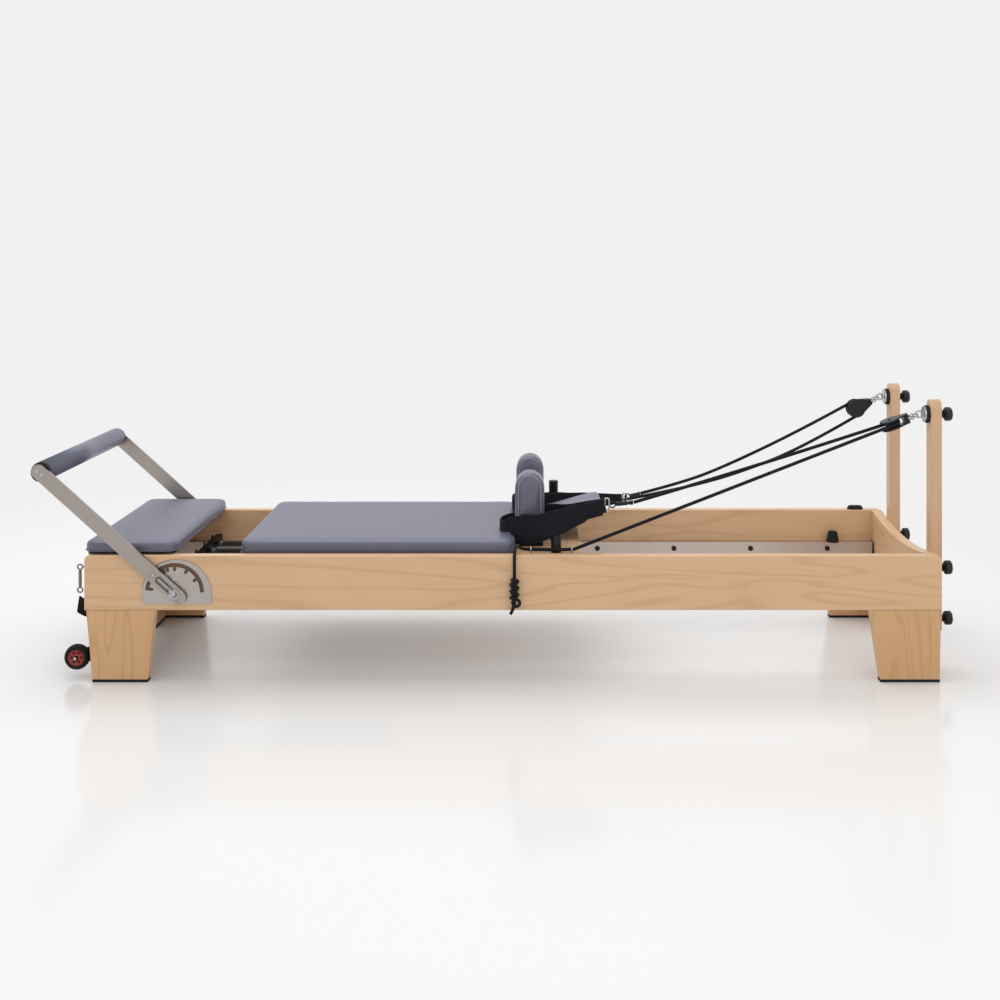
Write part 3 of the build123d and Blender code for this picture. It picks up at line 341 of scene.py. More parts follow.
def padShape(name, outline, low, high, edge, crown, toFrame, under=0.004):
    # an outline filled from a flat underside, up the sides, over a quarter-round edge and across a crowned top:
    # height is high minus edge plus a quarter circle at the rim, then rises by crown times 1 - k^2 to the middle
    angle = np.linspace(0, math.pi / 2, 9)
    rim = [(inset(outline, under * (1 - math.sin(a))), low + under * (1 - math.cos(a))) for a in angle]
    side = [(outline, low + under + (high - edge - low - under) * f) for f in np.linspace(0.15, 0.9, 6)]
    top = [(inset(outline, edge * (1 - math.cos(a))), high - edge + edge * math.sin(a)) for a in angle]
    middle = outline.mean(0)
    last = inset(outline, edge)
    shares = np.linspace(0.97, 0.02, 34)
    crownRows = [(middle + (last - middle) * k, high + crown * (1 - k**2)) for k in shares]
    first = inset(outline, under)
    baseRows = [(middle + (first - middle) * k, low) for k in shares[::-1]]
    rows = baseRows + rim + side + top + crownRows
    flat = np.array([np.column_stack([pair[0], np.full(len(outline), pair[1])]) for pair in rows])
    count = len(outline)
    points = np.vstack([flat.reshape(-1, 3), [[*middle, low]], [[*middle, high + crown]]])
    quads = gridFaces(len(rows), count)
    ring = np.arange(count)
    lowFan = np.stack([np.roll(ring, -1), ring, np.full(count, len(rows) * count)], 1)
    highFan = lowFan[:, [1, 0, 2]] + [(len(rows) - 1) * count, (len(rows) - 1) * count, 1]
    return putMesh(name, toFrame(points), quads.tolist() + lowFan.tolist() + highFan.tolist())


def seamAlong(name, outline, height, radius, toFrame):
    # a thin raised seam that follows an outline at one height
    line = toFrame(np.column_stack([outline, np.full(len(outline), height)]))
    normal = unit(np.cross(line[20] - line[0], line[60] - line[0]))
    return sweepRing(name, line, circleRing(radius, 8), up=normal, closed=True)


def routeOf(points):
    # points read from a NURBS spline of order 3 with the given control points
    curve = bpy.data.curves.new("route", "CURVE")
    curve.dimensions = "3D"
    curve.resolution_u = 24
    spline = curve.splines.new("NURBS")
    spline.points.add(len(points) - 1)
    spline.points.foreach_set("co", np.column_stack([points, np.ones(len(points))]).ravel())
    spline.order_u = 3
    spline.use_endpoint_u = True
    thing = bpy.data.objects.new("route", curve)
    mesh = bpy.data.meshes.new_from_object(thing)
    line = np.empty(len(mesh.vertices) * 3)
    mesh.vertices.foreach_get("co", line)
    bpy.data.objects.remove(thing)
    bpy.data.curves.remove(curve)
    bpy.data.meshes.remove(mesh)
    line = line.reshape(-1, 3)
    keep = np.concatenate([[True], np.linalg.norm(np.diff(line, axis=0), axis=1) > 1e-7])
    return line[keep]


def evenly(line, step):
    # an open line walked at even steps near the given one
    length = runOf(line)[-1]
    return readAt(line, np.linspace(0, length, max(int(length / step), 4)))


# free rope ends, made first with the camera

tail = {
    "radius": 0.0045, "step": 0.0022, "strandDepth": 0.06, "strandTurn": 900,
    "points": [(43, 270, 352), (29, 270, 352), (16, 280, 361), (9, 298, 366), (6, 317, 366), (4.5, 333, 358),
               (4, 339.5, 341), (4, 339.5, 288)],
    "endPoints": [(4, 339.5, 228), (4, 339.5, 207), (-7, 339.5, 190)],
    "knotHeights": (286, 277, 268, 259, 250, 241), "knotReach": 0.0086,
}


def braided(name, line, radius, up=(0, 1, 0)):
    # a round rope that is thinner between its strands: radius times one less a share of
    # |sin(4 angle + twist)| times |sin(4 angle - twist)|
    path = evenly(line, tail["step"])
    twist = np.linspace(0, 1, len(path))[:, None] * len(path) * tail["step"] * tail["strandTurn"]
    angle = np.linspace(0, 2 * math.pi, 16, endpoint=False)[None]
    swell = 1 - tail["strandDepth"] * np.abs(np.sin(4 * angle + twist)) * np.abs(np.sin(4 * angle - twist))
    ring = np.stack([radius * swell * np.cos(angle), radius * swell * np.sin(angle)], -1)
    return sweepRing(name, path, ring, up=up)


def ropeTail(side, name):
    # a limp end over the rail's edge and straight down, a knot of tilted rings round a core, and a short end below
    flip = np.array([1, side, 1])
    points = places(tail["points"]) * flip
    line = routeOf(points)
    hanging = braided(f"tail_{name}", line, tail["radius"], up=(1, 0, 0))
    length = float(runOf(line)[-1])
    endLine = routeOf(places(tail["endPoints"]) * flip)
    end = braided(f"tail_end_{name}", endLine, tail["radius"], up=(0, 1, 0))
    wraps = []
    for number, height in enumerate(tail["knotHeights"]):
        centre = np.array(place(4 + 1.5 * (-1) ** number, 344.5, height - 3)) * flip
        tilt = (0.22 * (-1) ** number, 0.1, 1)
        wraps.append(wireRing(f"knot_turn_{name}_{number}", centre, tilt, tail["knotReach"], tail["radius"]))
    loop = np.array(place(9, 344.5, 222)) * flip
    wraps.append(wireRing(f"knot_loop_{name}", loop, (0.15, 1, 0.1), 0.0098, tail["radius"] * 0.94))
    core = evenly(places([(4, 341.5, 288), (4, 342.5, 255), (4, 341.5, 222)]) * flip, 0.003)
    wraps.append(braided(f"knot_core_{name}", core, tail["radius"], up=(1, 0, 0)))
    for piece in [hanging, end] + wraps:
        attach(piece, "carriage")
    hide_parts(f"rope_tail_{name}")
    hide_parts("tail_knots")
    return [hanging, end] + wraps


ropePieces = ropeTail(-1, "near") + ropeTail(1, "far")
print("free rope ends")


# the two long ropes, each as falls to the carriage

ropes = {
    "radius": 0.0050, "wrap": 0.0228, "travel": 0.78, "leastKeep": 0.02,
    "nearAngle": 20.0, "farAngle": 26.0,
    "nearFall": [(700, -211, 577)], "nearEnd": (340, -227, 475),
    "farLow": [(901, 228, 555), (713, 240, 480), (587, 248, 441), (398, 258, 398)],
    "farHigh": [(898, 212, 616), (645, 206, 497), (519, 203, 452)], "farEnd": (393, 200, 420),
    "eyelets": (43, 169), "eyeletY": 270, "eyeletZ": 352,
}


def sheaveFrame(side, name):
    # the sheave's middle, the way its block hangs and the way across from fall to fall
    low, high = (np.array(corner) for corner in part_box(f"sheave_{name}"))
    angle = math.radians(ropes[f"{name}Angle"])
    along = np.array([math.cos(angle), 0, math.sin(angle)])
    across = np.array([0, -1.0, 0]) if side < 0 else np.array([math.sin(angle), 0, -math.cos(angle)])
    return (low + high) / 2, along, across


def fall(name, points):
    # from the pulley down to the carriage; the share of its length along the bed that full travel would leave is
    # worked out but not used
    line = routeOf(np.array(points)) if len(points) > 2 else np.linspace(points[0], points[1], 60)
    piece = braided(name, line, ropes["radius"], up=(0, 1, 0))
    span = points[0][0] - points[-1][0]
    keep = max((span - ropes["travel"]) / span, ropes["leastKeep"])
    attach(piece, "frame")
    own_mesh(piece)
    return piece


def longRope(side, name):
    # half a turn round the sheave, a fall to each side of it and a straight run between the two eyelets
    centre, along, across = sheaveFrame(side, name)
    first = centre + across * ropes["wrap"]
    second = centre - across * ropes["wrap"]
    eyelet = np.array(place(ropes["eyelets"][1], side * ropes["eyeletY"], ropes["eyeletZ"]))
    lowPoints = [first] + [np.array(place(*p)) for p in ropes.get(f"{name}Low", [])] + [eyelet]
    highPoints = [second] + [np.array(place(*p)) for p in ropes.get(f"{name}High", ropes["nearFall"])]
    highPoints += [np.array(place(*ropes[f"{name}End"]))]
    angle = np.linspace(-math.pi / 2, math.pi / 2, 30)[:, None]
    arc = centre + ropes["wrap"] * (np.cos(angle) * along - np.sin(angle) * across)
    wrap = braided(f"rope_wrap_{name}", arc, ropes["radius"], up=np.cross(along, across))
    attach(wrap, "frame")
    eyeletY, eyeletZ = side * ropes["eyeletY"], ropes["eyeletZ"]
    betweenEyelets = places([(ropes["eyelets"][1], eyeletY, eyeletZ), (106, eyeletY, eyeletZ - 1.5),
                             (ropes["eyelets"][0], eyeletY, eyeletZ)])
    flat = braided(f"rope_eyelet_run_{name}", routeOf(betweenEyelets), ropes["radius"], up=(0, 1, 0))
    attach(flat, "carriage")
    pieces = [fall(f"rope_low_{name}", lowPoints), fall(f"rope_high_{name}", highPoints), wrap, flat]
    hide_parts(f"rope_{name}")
    return pieces


ropePieces += longRope(-1, "near") + longRope(1, "far")
print("long ropes")


# upholstery

vinylPads = {
    "carriage": {"corner": 0.030, "edge": 0.013, "crown": 0.0012, "cap": 0.0022, "voxel": 0.0055},
    "platform": {"corner": 0.030, "edge": 0.011, "crown": 0.0012, "cap": 0.0018, "voxel": 0.0045},
    "headrest": {"corner": 0.024, "edge": 0.011, "crown": 0.0020, "cap": 0.0022, "voxel": 0.0040,
                 "halfX": 0.1257, "fromHinge": 0.1363, "low": 0.0103, "high": 0.0385, "hinge": (12, 0, 344.3)},
    "shoulder": {"edge": 0.014, "crown": 0.0015, "cap": 0.0020, "voxel": 0.0040,
                 "deep": 0.0775, "inner": 0.1145, "weltIn": 0.0088, "weltRadius": 0.0015},
    "tilt": 15.0, "seam": 0.0011, "seamOut": 0.0004, "hemUp": 0.0035, "shrink": 0.0012,
    "pressure": 4.0, "frames": 20,
}


def pumpUp(thing, voxel, cap, holdBelow=None):
    # a copy is remeshed, blown out by cloth pressure with no gravity, and kept within cap of where it started
    scene = bpy.context.scene
    bpy.context.view_layer.objects.active = thing
    remesh = thing.modifiers.new("even", "REMESH")
    remesh.mode = "VOXEL"
    remesh.voxel_size = voxel
    bpy.ops.object.modifier_apply(modifier="even")
    start = np.empty(len(thing.data.vertices) * 3)
    thing.data.vertices.foreach_get("co", start)
    start = start.reshape(-1, 3)
    cloth = thing.modifiers.new("air", "CLOTH")
    cloth.settings.use_pressure = True
    cloth.settings.uniform_pressure_force = vinylPads["pressure"]
    cloth.settings.effector_weights.gravity = 0
    cloth.settings.quality = 4
    for number in range(1, vinylPads["frames"] + 1):
        scene.frame_set(number)
    moved = thing.evaluated_get(bpy.context.evaluated_depsgraph_get()).to_mesh()
    end = np.empty(len(moved.vertices) * 3)
    moved.vertices.foreach_get("co", end)
    end = end.reshape(-1, 3)
    thing.evaluated_get(bpy.context.evaluated_depsgraph_get()).to_mesh_clear()
    thing.modifiers.clear()
    scene.frame_set(1)
    step = end - start
    far = np.linalg.norm(step, axis=1, keepdims=True)
    step *= np.minimum(1, cap / np.maximum(far, 1e-9))
    if holdBelow is not None:
        step[start[:, 2] < holdBelow] = 0
    thing.data.vertices.foreach_set("co", (start + step).ravel())
    thing.data.polygons.foreach_set("use_smooth", np.full(len(thing.data.polygons), True))
    thing.data.update()
    print("cushion pumped up:", thing.name, len(thing.data.vertices), "points")
    return thing


def flatPad(node, style, body, slot="vinyl"):
    # a cushion that fills its node's box, with a hem seam round its foot
    low, high = (np.array(corner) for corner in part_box(node))
    size = vinylPads[style]
    shrink = vinylPads["shrink"]
    halfX, halfY = (high - low)[:2] / 2 - shrink
    outline = roundedOutline(halfX, halfY, size["corner"])
    middle = (low + high) / 2

    def toFrame(points):
        return points + [middle[0], middle[1], 0]

    pad = padShape(node.replace("_pad", "_cushion"), outline, low[2], high[2] - shrink, size["edge"], size["crown"],
                   toFrame)
    pumpUp(pad, size["voxel"], size["cap"], low[2] + 0.002)
    hem = seamAlong(f"{node}_hem", inset(outline, -vinylPads["seamOut"]), low[2] + vinylPads["hemUp"],
                    vinylPads["seam"], toFrame)
    return dressPad(pad, [hem], body, slot, node)


def dressPad(pad, seams, body, slot, *nodes):
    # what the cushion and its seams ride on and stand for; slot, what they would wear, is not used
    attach(pad, body)
    if nodes:
        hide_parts(*nodes)
    for seam in seams:
        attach(seam, body)
    return [pad] + seams


vinylPieces = flatPad("carriage_pad", "carriage", "carriage")
vinylPieces += flatPad("foot_platform_pad", "platform", "frame")


def headrestCushion():
    # the pad is made flat from the hinge line and turned up by the tilt
    size = vinylPads["headrest"]
    angle = math.radians(vinylPads["tilt"])
    low, high = (np.array(corner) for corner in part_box("headrest_pad"))
    outline = roundedOutline(size["halfX"], (high - low)[1] / 2 - vinylPads["shrink"], size["corner"])
    hinge = np.array(place(*size["hinge"]))

    def toFrame(points):
        x, y, z = (points + [size["fromHinge"], 0, 0]).T
        return hinge + np.stack([x * math.cos(angle) - z * math.sin(angle), y,
                                 x * math.sin(angle) + z * math.cos(angle)], 1)

    pad = padShape("headrest_cushion", outline, size["low"], size["high"], size["edge"], size["crown"], toFrame)
    pumpUp(pad, size["voxel"], size["cap"])
    hem = seamAlong("headrest_hem", inset(outline, -vinylPads["seamOut"]), size["low"] + vinylPads["hemUp"],
                    vinylPads["seam"], toFrame)
    return dressPad(pad, [hem], "headrest", "vinyl", "headrest_pad")


vinylPieces += headrestCushion()


def shoulderCushions():
    # an arch drawn across X and Z, as deep as the rest is wide, with a welt round each face
    size = vinylPads["shoulder"]
    made = []
    low, high = (np.array(corner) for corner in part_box("shoulder_rests"))
    halfX = (high - low)[0] / 2 - vinylPads["shrink"]
    outline = archOutline(halfX, low[2], high[2] - vinylPads["shrink"])
    middleX = (low[0] + high[0]) / 2
    deep = size["deep"]
    for side, name in ((-1, "near"), (1, "far")):

        def toFrame(points, side=side):
            return np.stack([points[:, 0] + middleX, side * (size["inner"] + points[:, 2]), points[:, 1]], 1)

        rest = padShape(f"shoulder_cushion_{name}", outline, 0.0, deep - 0.001, size["edge"], size["crown"], toFrame,
                        under=size["edge"])
        pumpUp(rest, size["voxel"], size["cap"])
        welts = [seamAlong(f"shoulder_welt_{name}_{n}", inset(outline, size["weltIn"]), height, size["weltRadius"],
                           toFrame) for n, height in enumerate((0.0016, deep - 0.0022))]
        made += dressPad(rest, welts, "carriage", "vinyl", *(["shoulder_rests"] if side < 0 else []))
    return made


vinylPieces += shoulderCushions()


def barSleeve():
    # the footbar's sleeve: a long turned shape with rolled ends, and its lengthwise seam
    low, high = (np.array(corner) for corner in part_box("footbar_pad"))
    centre = (low + high) / 2
    half = (high - low)[1] / 2
    radius = (high - low)[2] / 2
    edge = 0.004
    angle = np.linspace(0, math.pi / 2, 7)
    end = [(radius - edge + edge * math.sin(a), half - edge * (1 - math.cos(math.pi / 2 - a))) for a in angle]
    inside = 0.0161  # the bar's own radius and a tenth of a millimetre
    rows = [(inside, -half)] + [(r, -h) for r, h in end] + [(r, h) for r, h in end[::-1]]
    rows += [(inside, half), (inside, -half)]
    sleeve = turned("footbar_sleeve", rows, centre, (0, 1, 0), 72)
    under = 0.0002 - radius
    line = np.linspace(centre + [0.0, edge - half, under], centre + [0.0, half - edge, under], 60)
    seam = sweepRing("footbar_seam", line, circleRing(0.0007, 8))
    return dressPad(sleeve, [seam], "footbar", "bar_foam", "footbar_pad")


sleevePieces = barSleeve()
print("upholstery")


# webbing

webbing = {
    "thick": 0.0055, "stitch": 0.0006, "strapWidth": 0.045, "strapThick": 0.004,
    "near": [(258, -233, 447, 486), (226, -240, 441, 479), (203, -245, 436, 475), (195, -247, 422, 474),
             (165, -257, 408, 471), (137, -268, 396, 466), (105, -268, 386, 458), (75, -247, 368, 447),
             (40, -224, 354, 441), (17, -211, 354, 439), (3, -203, 383, 438), (-14, -196, 383, 430),
             (-32, -178, 382, 414), (-39, -155, 382, 412), (-31, -128, 382, 416), (-10, -111, 382, 420),
             (12, -107, 382, 424), (50, -106, 376, 434), (95, -110, 378, 446), (122, -121, 384, 450),
             (160, -150, 400, 455), (215, -199, 428, 474), (258, -227, 447, 486)],
    "far": [(333, 202, 390, 418), (290, 214, 382, 415), (245, 228, 374, 413), (192, 247, 369, 412),
            (137, 268, 367, 411), (105, 268, 366, 411), (75, 247, 362, 413), (40, 224, 356, 417),
            (14, 206, 360, 419), (3, 200, 383, 420), (-5, 188, 383, 421), (-8, 155, 383, 421), (-5, 122, 383, 424),
            (3, 110, 383, 428), (45, 106, 376, 434), (100, 108, 376, 437), (150, 124, 376, 436), (210, 150, 380, 432),
            (275, 178, 383, 424), (333, 198, 390, 418)],
    "ring": 0.0024,
}


def handLoop(name):
    # a band between a lower and an upper curve: its middle is their mean and its height their distance
    points = np.array(webbing[name], float)
    low = alongCurve(places(points[:, [0, 1, 2]]), 300)
    high = alongCurve(places(points[:, [0, 1, 3]]), 300)
    path = (low + high) / 2
    height = high[:, 2] - low[:, 2]
    ring = flatRing(1.0, 1.0)
    scale = np.stack([np.full(len(path), webbing["thick"]), height], 1)
    band = sweepRing(f"hand_loop_{name}", path, ring, up=(0, 0, 1), scale=scale)
    edges = []
    for share in (-0.42, 0.42):
        shifted = path + np.array([0, 0, 1]) * (height * share)[:, None]
        _, side, _ = framesAlong(path, (0, 0, 1))
        stitch = shifted + side * (webbing["thick"] / 2 + 0.0001)
        edges.append(sweepRing(f"loop_stitch_{name}_{'low' if share < 0 else 'high'}", stitch,
                               circleRing(webbing["stitch"], 6)))
    for piece in [band] + edges:
        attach(piece, "carriage")
    return band, edges


loopPieces = []
for loopName in ("near", "far"):
    loopBand, loopEdges = handLoop(loopName)
    loopPieces += [loopBand] + loopEdges
    if loopName == "near":
        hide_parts("hand_loops")


def footStrap():
    # a flat band hung between two rings: height falls by a parabola from its ends to the middle
    low, high = (np.array(corner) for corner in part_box("foot_strap"))
    across = np.linspace(low[1], high[1], 120)
    half = (high[1] - low[1]) / 2
    width = webbing["strapWidth"]
    top = high[2] - width / 2
    drop = (high[2] - low[2]) - width
    path = np.stack([np.full(120, (low[0] + high[0]) / 2), across, top - drop * (1 - (across / half) ** 2)], 1)
    strap = sweepRing("foot_strap_band", path, flatRing(webbing["strapThick"], width), up=(0, 0, 1))
    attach(strap, "frame")
    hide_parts("foot_strap")
    length = float(runOf(path)[-1])
    return [strap]


loopPieces += footStrap()
print("webbing")


# hardware that the plain solids only stand for

hardware = {
    "springRadius": 0.0088, "springWire": 0.0012, "springPitch": 0.0034,
    "nearRing": (264, -230, 468), "farRing": (343, 200, 407),
    "nearHook": (340, -227, 475), "farHook": (393, 200, 420),
    "redHub": 0.0225, "recessCircle": 0.0135, "knobLobes": 8, "knobLobeDepth": 0.03,
}


def coilSprings():
    # a helix: x = x0 + pitch t, y = y0 + r cos 2 pi t, z = z0 + r sin 2 pi t, between two plain end sleeves
    low, high = (np.array(corner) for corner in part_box("springs"))
    rows = np.linspace(low[1] + 0.010, high[1] - 0.010, 5)
    z = (low[2] + high[2]) / 2
    made = []
    for number, y in enumerate(rows):
        turns = int((high[0] - low[0] - 0.05) / hardware["springPitch"])
        t = np.linspace(0, turns, turns * 12)
        r = hardware["springRadius"]
        path = np.stack([low[0] + 0.025 + hardware["springPitch"] * t, y + r * np.cos(2 * math.pi * t),
                         z + r * np.sin(2 * math.pi * t)], 1)
        coil = sweepRing(f"spring_{number + 1}", path, circleRing(hardware["springWire"], 6), up=(1, 0, 0))
        sleeves = []
        for end, start in (("foot", low[0]), ("head", high[0] - 0.026)):
            profile = [(0.004, 0), (0.0085, 0), (0.0098, 0.0015), (0.0098, 0.0245), (0.0085, 0.026), (0.004, 0.026),
                       (0.004, 0)]
            sleeves.append(turned(f"spring_sleeve_{end}_{number + 1}", profile, (start, y, z), (1, 0, 0), 32))
        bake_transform(coil)
        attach(sleeves[0], "frame")
        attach(sleeves[1], "carriage")
        made.append((coil, sleeves))
    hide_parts("springs")
    return made


springPieces = coilSprings()


def transportWheel(name):
    # tyre: a round tread over flat walls; hub: a dished disc with a raised boss and six recesses round its bolt
    low, high = (np.array(corner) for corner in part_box(f"transport_wheel_{name}"))
    centre = (low + high) / 2
    half = (high - low)[1] / 2
    radius = (high - low)[2] / 2
    hub = hardware["redHub"]
    angle = np.linspace(-math.pi / 2, math.pi / 2, 17)
    tread = [(radius - 0.007 + 0.007 * math.cos(a), half * math.sin(a)) for a in angle]
    tyre = turned(f"tyre_{name}", [(hub, -half)] + tread + [(hub, half), (hub, -half)], centre, (0, 1, 0), 72)
    side = half - 0.001
    face = [(0.0052, -side), (0.009, -side), (0.0105, -side + 0.004), (hub - 0.005, -side + 0.004),
            (hub - 0.003, -side), (hub - 0.0002, -side)]
    back = [(r, -h) for r, h in face[::-1]]
    disc = turned(f"hub_{name}", face + back + [face[0]], centre, (0, 1, 0), 72)
    outer = low[1] if name == "near" else high[1]
    facing = np.sign(outer - centre[1])
    dimples = []
    for turn in np.arange(6) * math.pi / 3:
        reach = hardware["recessCircle"]
        spot = (centre[0] + reach * math.cos(turn), outer - facing * 0.0052, centre[2] + reach * math.sin(turn))
        dome = [(0.0, 0.0012), (0.0026, 0.0010), (0.0034, 0.0), (0.0, 0.0)]
        dimples.append(turned(f"hub_recess_{name}_{len(dimples)}", dome, spot, (0, facing, 0), 20))
    boltHead = [(0.0, 0.0034), (0.0030, 0.0028), (0.0046, 0.001), (0.0050, -0.003), (0.0, -0.003)]
    boltAt = (centre[0], outer + facing * 0.0062, centre[2])
    bolt = turned(f"hub_bolt_{name}", boltHead, boltAt, (0, facing, 0), 32)
    for piece in [tyre, disc, bolt] + dimples:
        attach(piece, f"transport_wheel_{name}")
    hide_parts(f"transport_wheel_{name}")
    return [tyre] + dimples, disc, bolt


wheels = [transportWheel(name) for name in ("near", "far")]


def gripKnob(node, body, side=None):
    # a lobed hand knob with a stem, turned about X; lobes are a cosine on the radius
    low, high = (np.array(corner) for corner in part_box(node))
    y = (low[1] + high[1]) / 2 if side is None else (high[1] - 0.020 if side > 0 else low[1] + 0.020)
    z = (low[2] + high[2]) / 2
    face = high[0] - 0.034
    rim = 0.0192
    stem = [(0.0, face + 0.0002), (0.0098, face + 0.0002), (0.0098, face + 0.012)]
    head = [(rim - 0.003, face + 0.0122), (rim, face + 0.0155), (rim, face + 0.0285), (rim - 0.0035, face + 0.0325),
            (0.012, face + 0.0335), (0.0, face + 0.0338)]
    name = node if side is None else f"{node}_{'far' if side > 0 else 'near'}"
    knob = turned(f"{name}_grip", stem + head, (0, y, z), (1, 0, 0), 96, hardware["knobLobes"],
                  hardware["knobLobeDepth"])
    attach(knob, body)
    return knob


knobPieces = []
for sideName in ("near", "far"):
    for level in ("upper", "lower"):
        knobNode = f"riser_knob_{level}_{sideName}"
        knobPieces.append(gripKnob(knobNode, knobNode))
        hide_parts(knobNode)
for sideSign in (-1, 1):
    knobPieces.append(gripKnob("eye_bolt_knobs", "frame", sideSign))
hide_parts("eye_bolt_knobs")


def slideRing(name, centre):
    # a rectangular wire link that stands across the webbing's end
    outline = roundedOutline(0.0058, 0.0185 if "near" in name else 0.0130, 0.0035, 96)
    path = centre + np.stack([outline[:, 0], -0.25 * outline[:, 0], outline[:, 1]], 1)
    return sweepRing(name, path, circleRing(webbing["ring"], 10), up=(0.25, 1, 0), closed=True)


def loopRings():
    # a bright rectangular ring on each loop, and the black snap hook between it and the rope
    rings, hooks = [], []
    for name in ("near", "far"):
        ring = np.array(place(*hardware[f"{name}Ring"]))
        hook = np.array(place(*hardware[f"{name}Hook"]))
        rings.append(slideRing(f"loop_ring_{name}", ring))
        along = unit(hook - ring)
        length = float(np.linalg.norm(hook - ring))
        body = [(0.0, 0.30), (0.0045, 0.31), (0.0060, 0.40), (0.0060, 0.72), (0.0042, 0.80), (0.0062, 0.86),
                (0.0062, 0.97), (0.0, 0.985)]
        profile = [(r, share * length) for r, share in body]
        hooks.append(turned(f"snap_hook_{name}", profile, ring, along, 24))
        centre = ring + along * (length * 0.20)
        hooks.append(wireRing(f"snap_bow_{name}", centre, (0, 1, 0), 0.0085, 0.0021, 1.0))
    for piece in rings + hooks:
        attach(piece, "carriage")
    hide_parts("loop_hardware")
    return rings, hooks


ringPieces, hookPieces = loopRings()


# the last two entries bound the painted shade on the rails' wood round the pivot
lock = {
    "pivotX": -0.930, "pivotZ": 0.248, "railFace": 0.3295, "armAngle": 138.0,
    "slotAt": 0.026, "slotHalf": 0.036, "pinAt": 0.074, "pocketRadius": 0.090, "pocketFoot": 0.222,
}
armAngle = math.radians(lock["armAngle"])


def latchSlotShadeAndPin():
    # a dark ring round the latch's long slot, painted shade standing in for the shade in the slot's cut, and the
    # pin's round head beside it
    made = []
    for name, side in (("near", -1), ("far", 1)):
        low, high = (np.array(corner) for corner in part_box(f"latch_{name}"))
        face = (low[1] - 0.0004) if side < 0 else (high[1] + 0.0004)
        pivot = np.array([midX + lock["pivotX"], face, lock["pivotZ"]])
        along = np.array([math.cos(armAngle), 0, math.sin(armAngle)])
        up = np.cross(along, (0, 1, 0))
        outline = roundedOutline(lock["slotHalf"], 0.0068, 0.0066, 96)
        path = pivot + along * lock["slotAt"] + outline[:, :1] * along + outline[:, 1:] * up
        rim = sweepRing(f"latch_slot_shade_{name}", path, circleRing(0.0011, 8), up=(0, 1, 0), closed=True)
        dome = [(0.0, 0.0030), (0.0028, 0.0024), (0.0044, 0.0004), (0.0046, -0.0008), (0.0, -0.0008)]
        head = turned(f"latch_pin_{name}", dome, pivot + along * lock["pinAt"], (0, side, 0), 28)
        for piece in (rim, head):
            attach(piece, f"latch_{name}")
        made.append((rim, head))
    return made


latchPieces = latchSlotShadeAndPin()


def trackCaps():
    # a thin black end plate on each end of both tracks
    made = []
    low, high = (np.array(corner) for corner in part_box("tracks"))
    depth, height = 0.027, high[2] - low[2]
    for side in (-1, 1):
        for end, x in (("foot", low[0]), ("head", high[0] - 0.0035)):
            y = side * (high[1] - depth / 2)
            outline = roundedOutline(depth / 2 + 0.0004, height / 2 + 0.0004, 0.003, 48)

            def toFrame(points, x=x, y=y):
                return np.stack([points[:, 2] + x, points[:, 0] + y, points[:, 1] + (low[2] + high[2]) / 2], 1)

            cap = padShape(f"track_cap_{end}_{'far' if side > 0 else 'near'}", outline, -0.0005, 0.0045, 0.001, 0.0,
                           toFrame, under=0.001)
            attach(cap, "frame")
            made.append(cap)
    return made


capPieces = trackCaps()
print("springs, wheels, knobs, rings")


# materials

class Wire:
    # one output socket of a material; sums on it add Math nodes
    def __init__(self, tree, socket):
        self.tree = tree
        self.socket = socket

    def add(self, kind, settings, inputs, out=0):
        made = self.tree.nodes.new(kind)
        for key, value in settings.items():
            if key == "stops":
                while len(made.color_ramp.elements) < len(value):
                    made.color_ramp.elements.new(0.5)
                for element, (where, colour) in zip(made.color_ramp.elements, value):
                    element.position = where
                    element.color = (*colour, 1)
            else:
                setattr(made, key, value)
        for key, value in inputs.items():
            if isinstance(value, Wire):
                self.tree.links.new(value.socket, made.inputs[key])
            else:
                made.inputs[key].default_value = value
        return Wire(self.tree, made.outputs[out])

    def maths(self, operation, second=0.0, first=None):
        first = self if first is None else first
        return self.add("ShaderNodeMath", {"operation": operation}, {0: first, 1: second})

    def parts(self):
        split = self.add("ShaderNodeSeparateXYZ", {}, {0: self}).socket.node
        return [Wire(self.tree, out) for out in split.outputs]

    def mixed(self, under, over):
        under = under if isinstance(under, Wire) else (*under, 1)
        over = over if isinstance(over, Wire) else (*over, 1)
        return self.add("ShaderNodeMix", {"data_type": "RGBA"}, {0: self, 6: under, 7: over}, 2)

    def __add__(self, other):
        return self.maths("ADD", other)

    def __radd__(self, other):
        return self.maths("ADD", self, other)

    def __sub__(self, other):
        return self.maths("SUBTRACT", other)

    def __rsub__(self, other):
        return self.maths("SUBTRACT", self, other)

    def __mul__(self, other):
        return self.maths("MULTIPLY", other)

    def __rmul__(self, other):
        return self.maths("MULTIPLY", self, other)

    def scaled(self, scale, turn=(0, 0, 0)):
        return self.add("ShaderNodeMapping", {}, {"Vector": self, "Scale": scale, "Rotation": turn})

    def noise(self, scale, detail=3.0, rough=0.5, bend=0.0):
        sizes = {"Vector": self, "Scale": scale, "Detail": detail, "Roughness": rough, "Distortion": bend}
        return self.add("ShaderNodeTexNoise", {}, sizes)

    def ramp(self, *stops):
        return self.add("ShaderNodeValToRGB", {"stops": stops}, {0: self})


def newFinish(name, rough, metal=0.0, coordinates="Object", **fixed):
    # a plain Principled material, with its shader and the coordinates its maths starts from
    material = bpy.data.materials.new(name)
    material.use_nodes = True
    tree = material.node_tree
    shader = tree.nodes["Principled BSDF"]
    shader.inputs["Roughness"].default_value = rough
    shader.inputs["Metallic"].default_value = metal
    for key, value in fixed.items():
        shader.inputs[key.replace("_", " ")].default_value = value
    where = tree.nodes.new("ShaderNodeTexCoord")
    return material, shader, Wire(tree, where.outputs[coordinates])


def feed(wire, shader, socket):
    wire.tree.links.new(wire.socket, shader.inputs[socket])


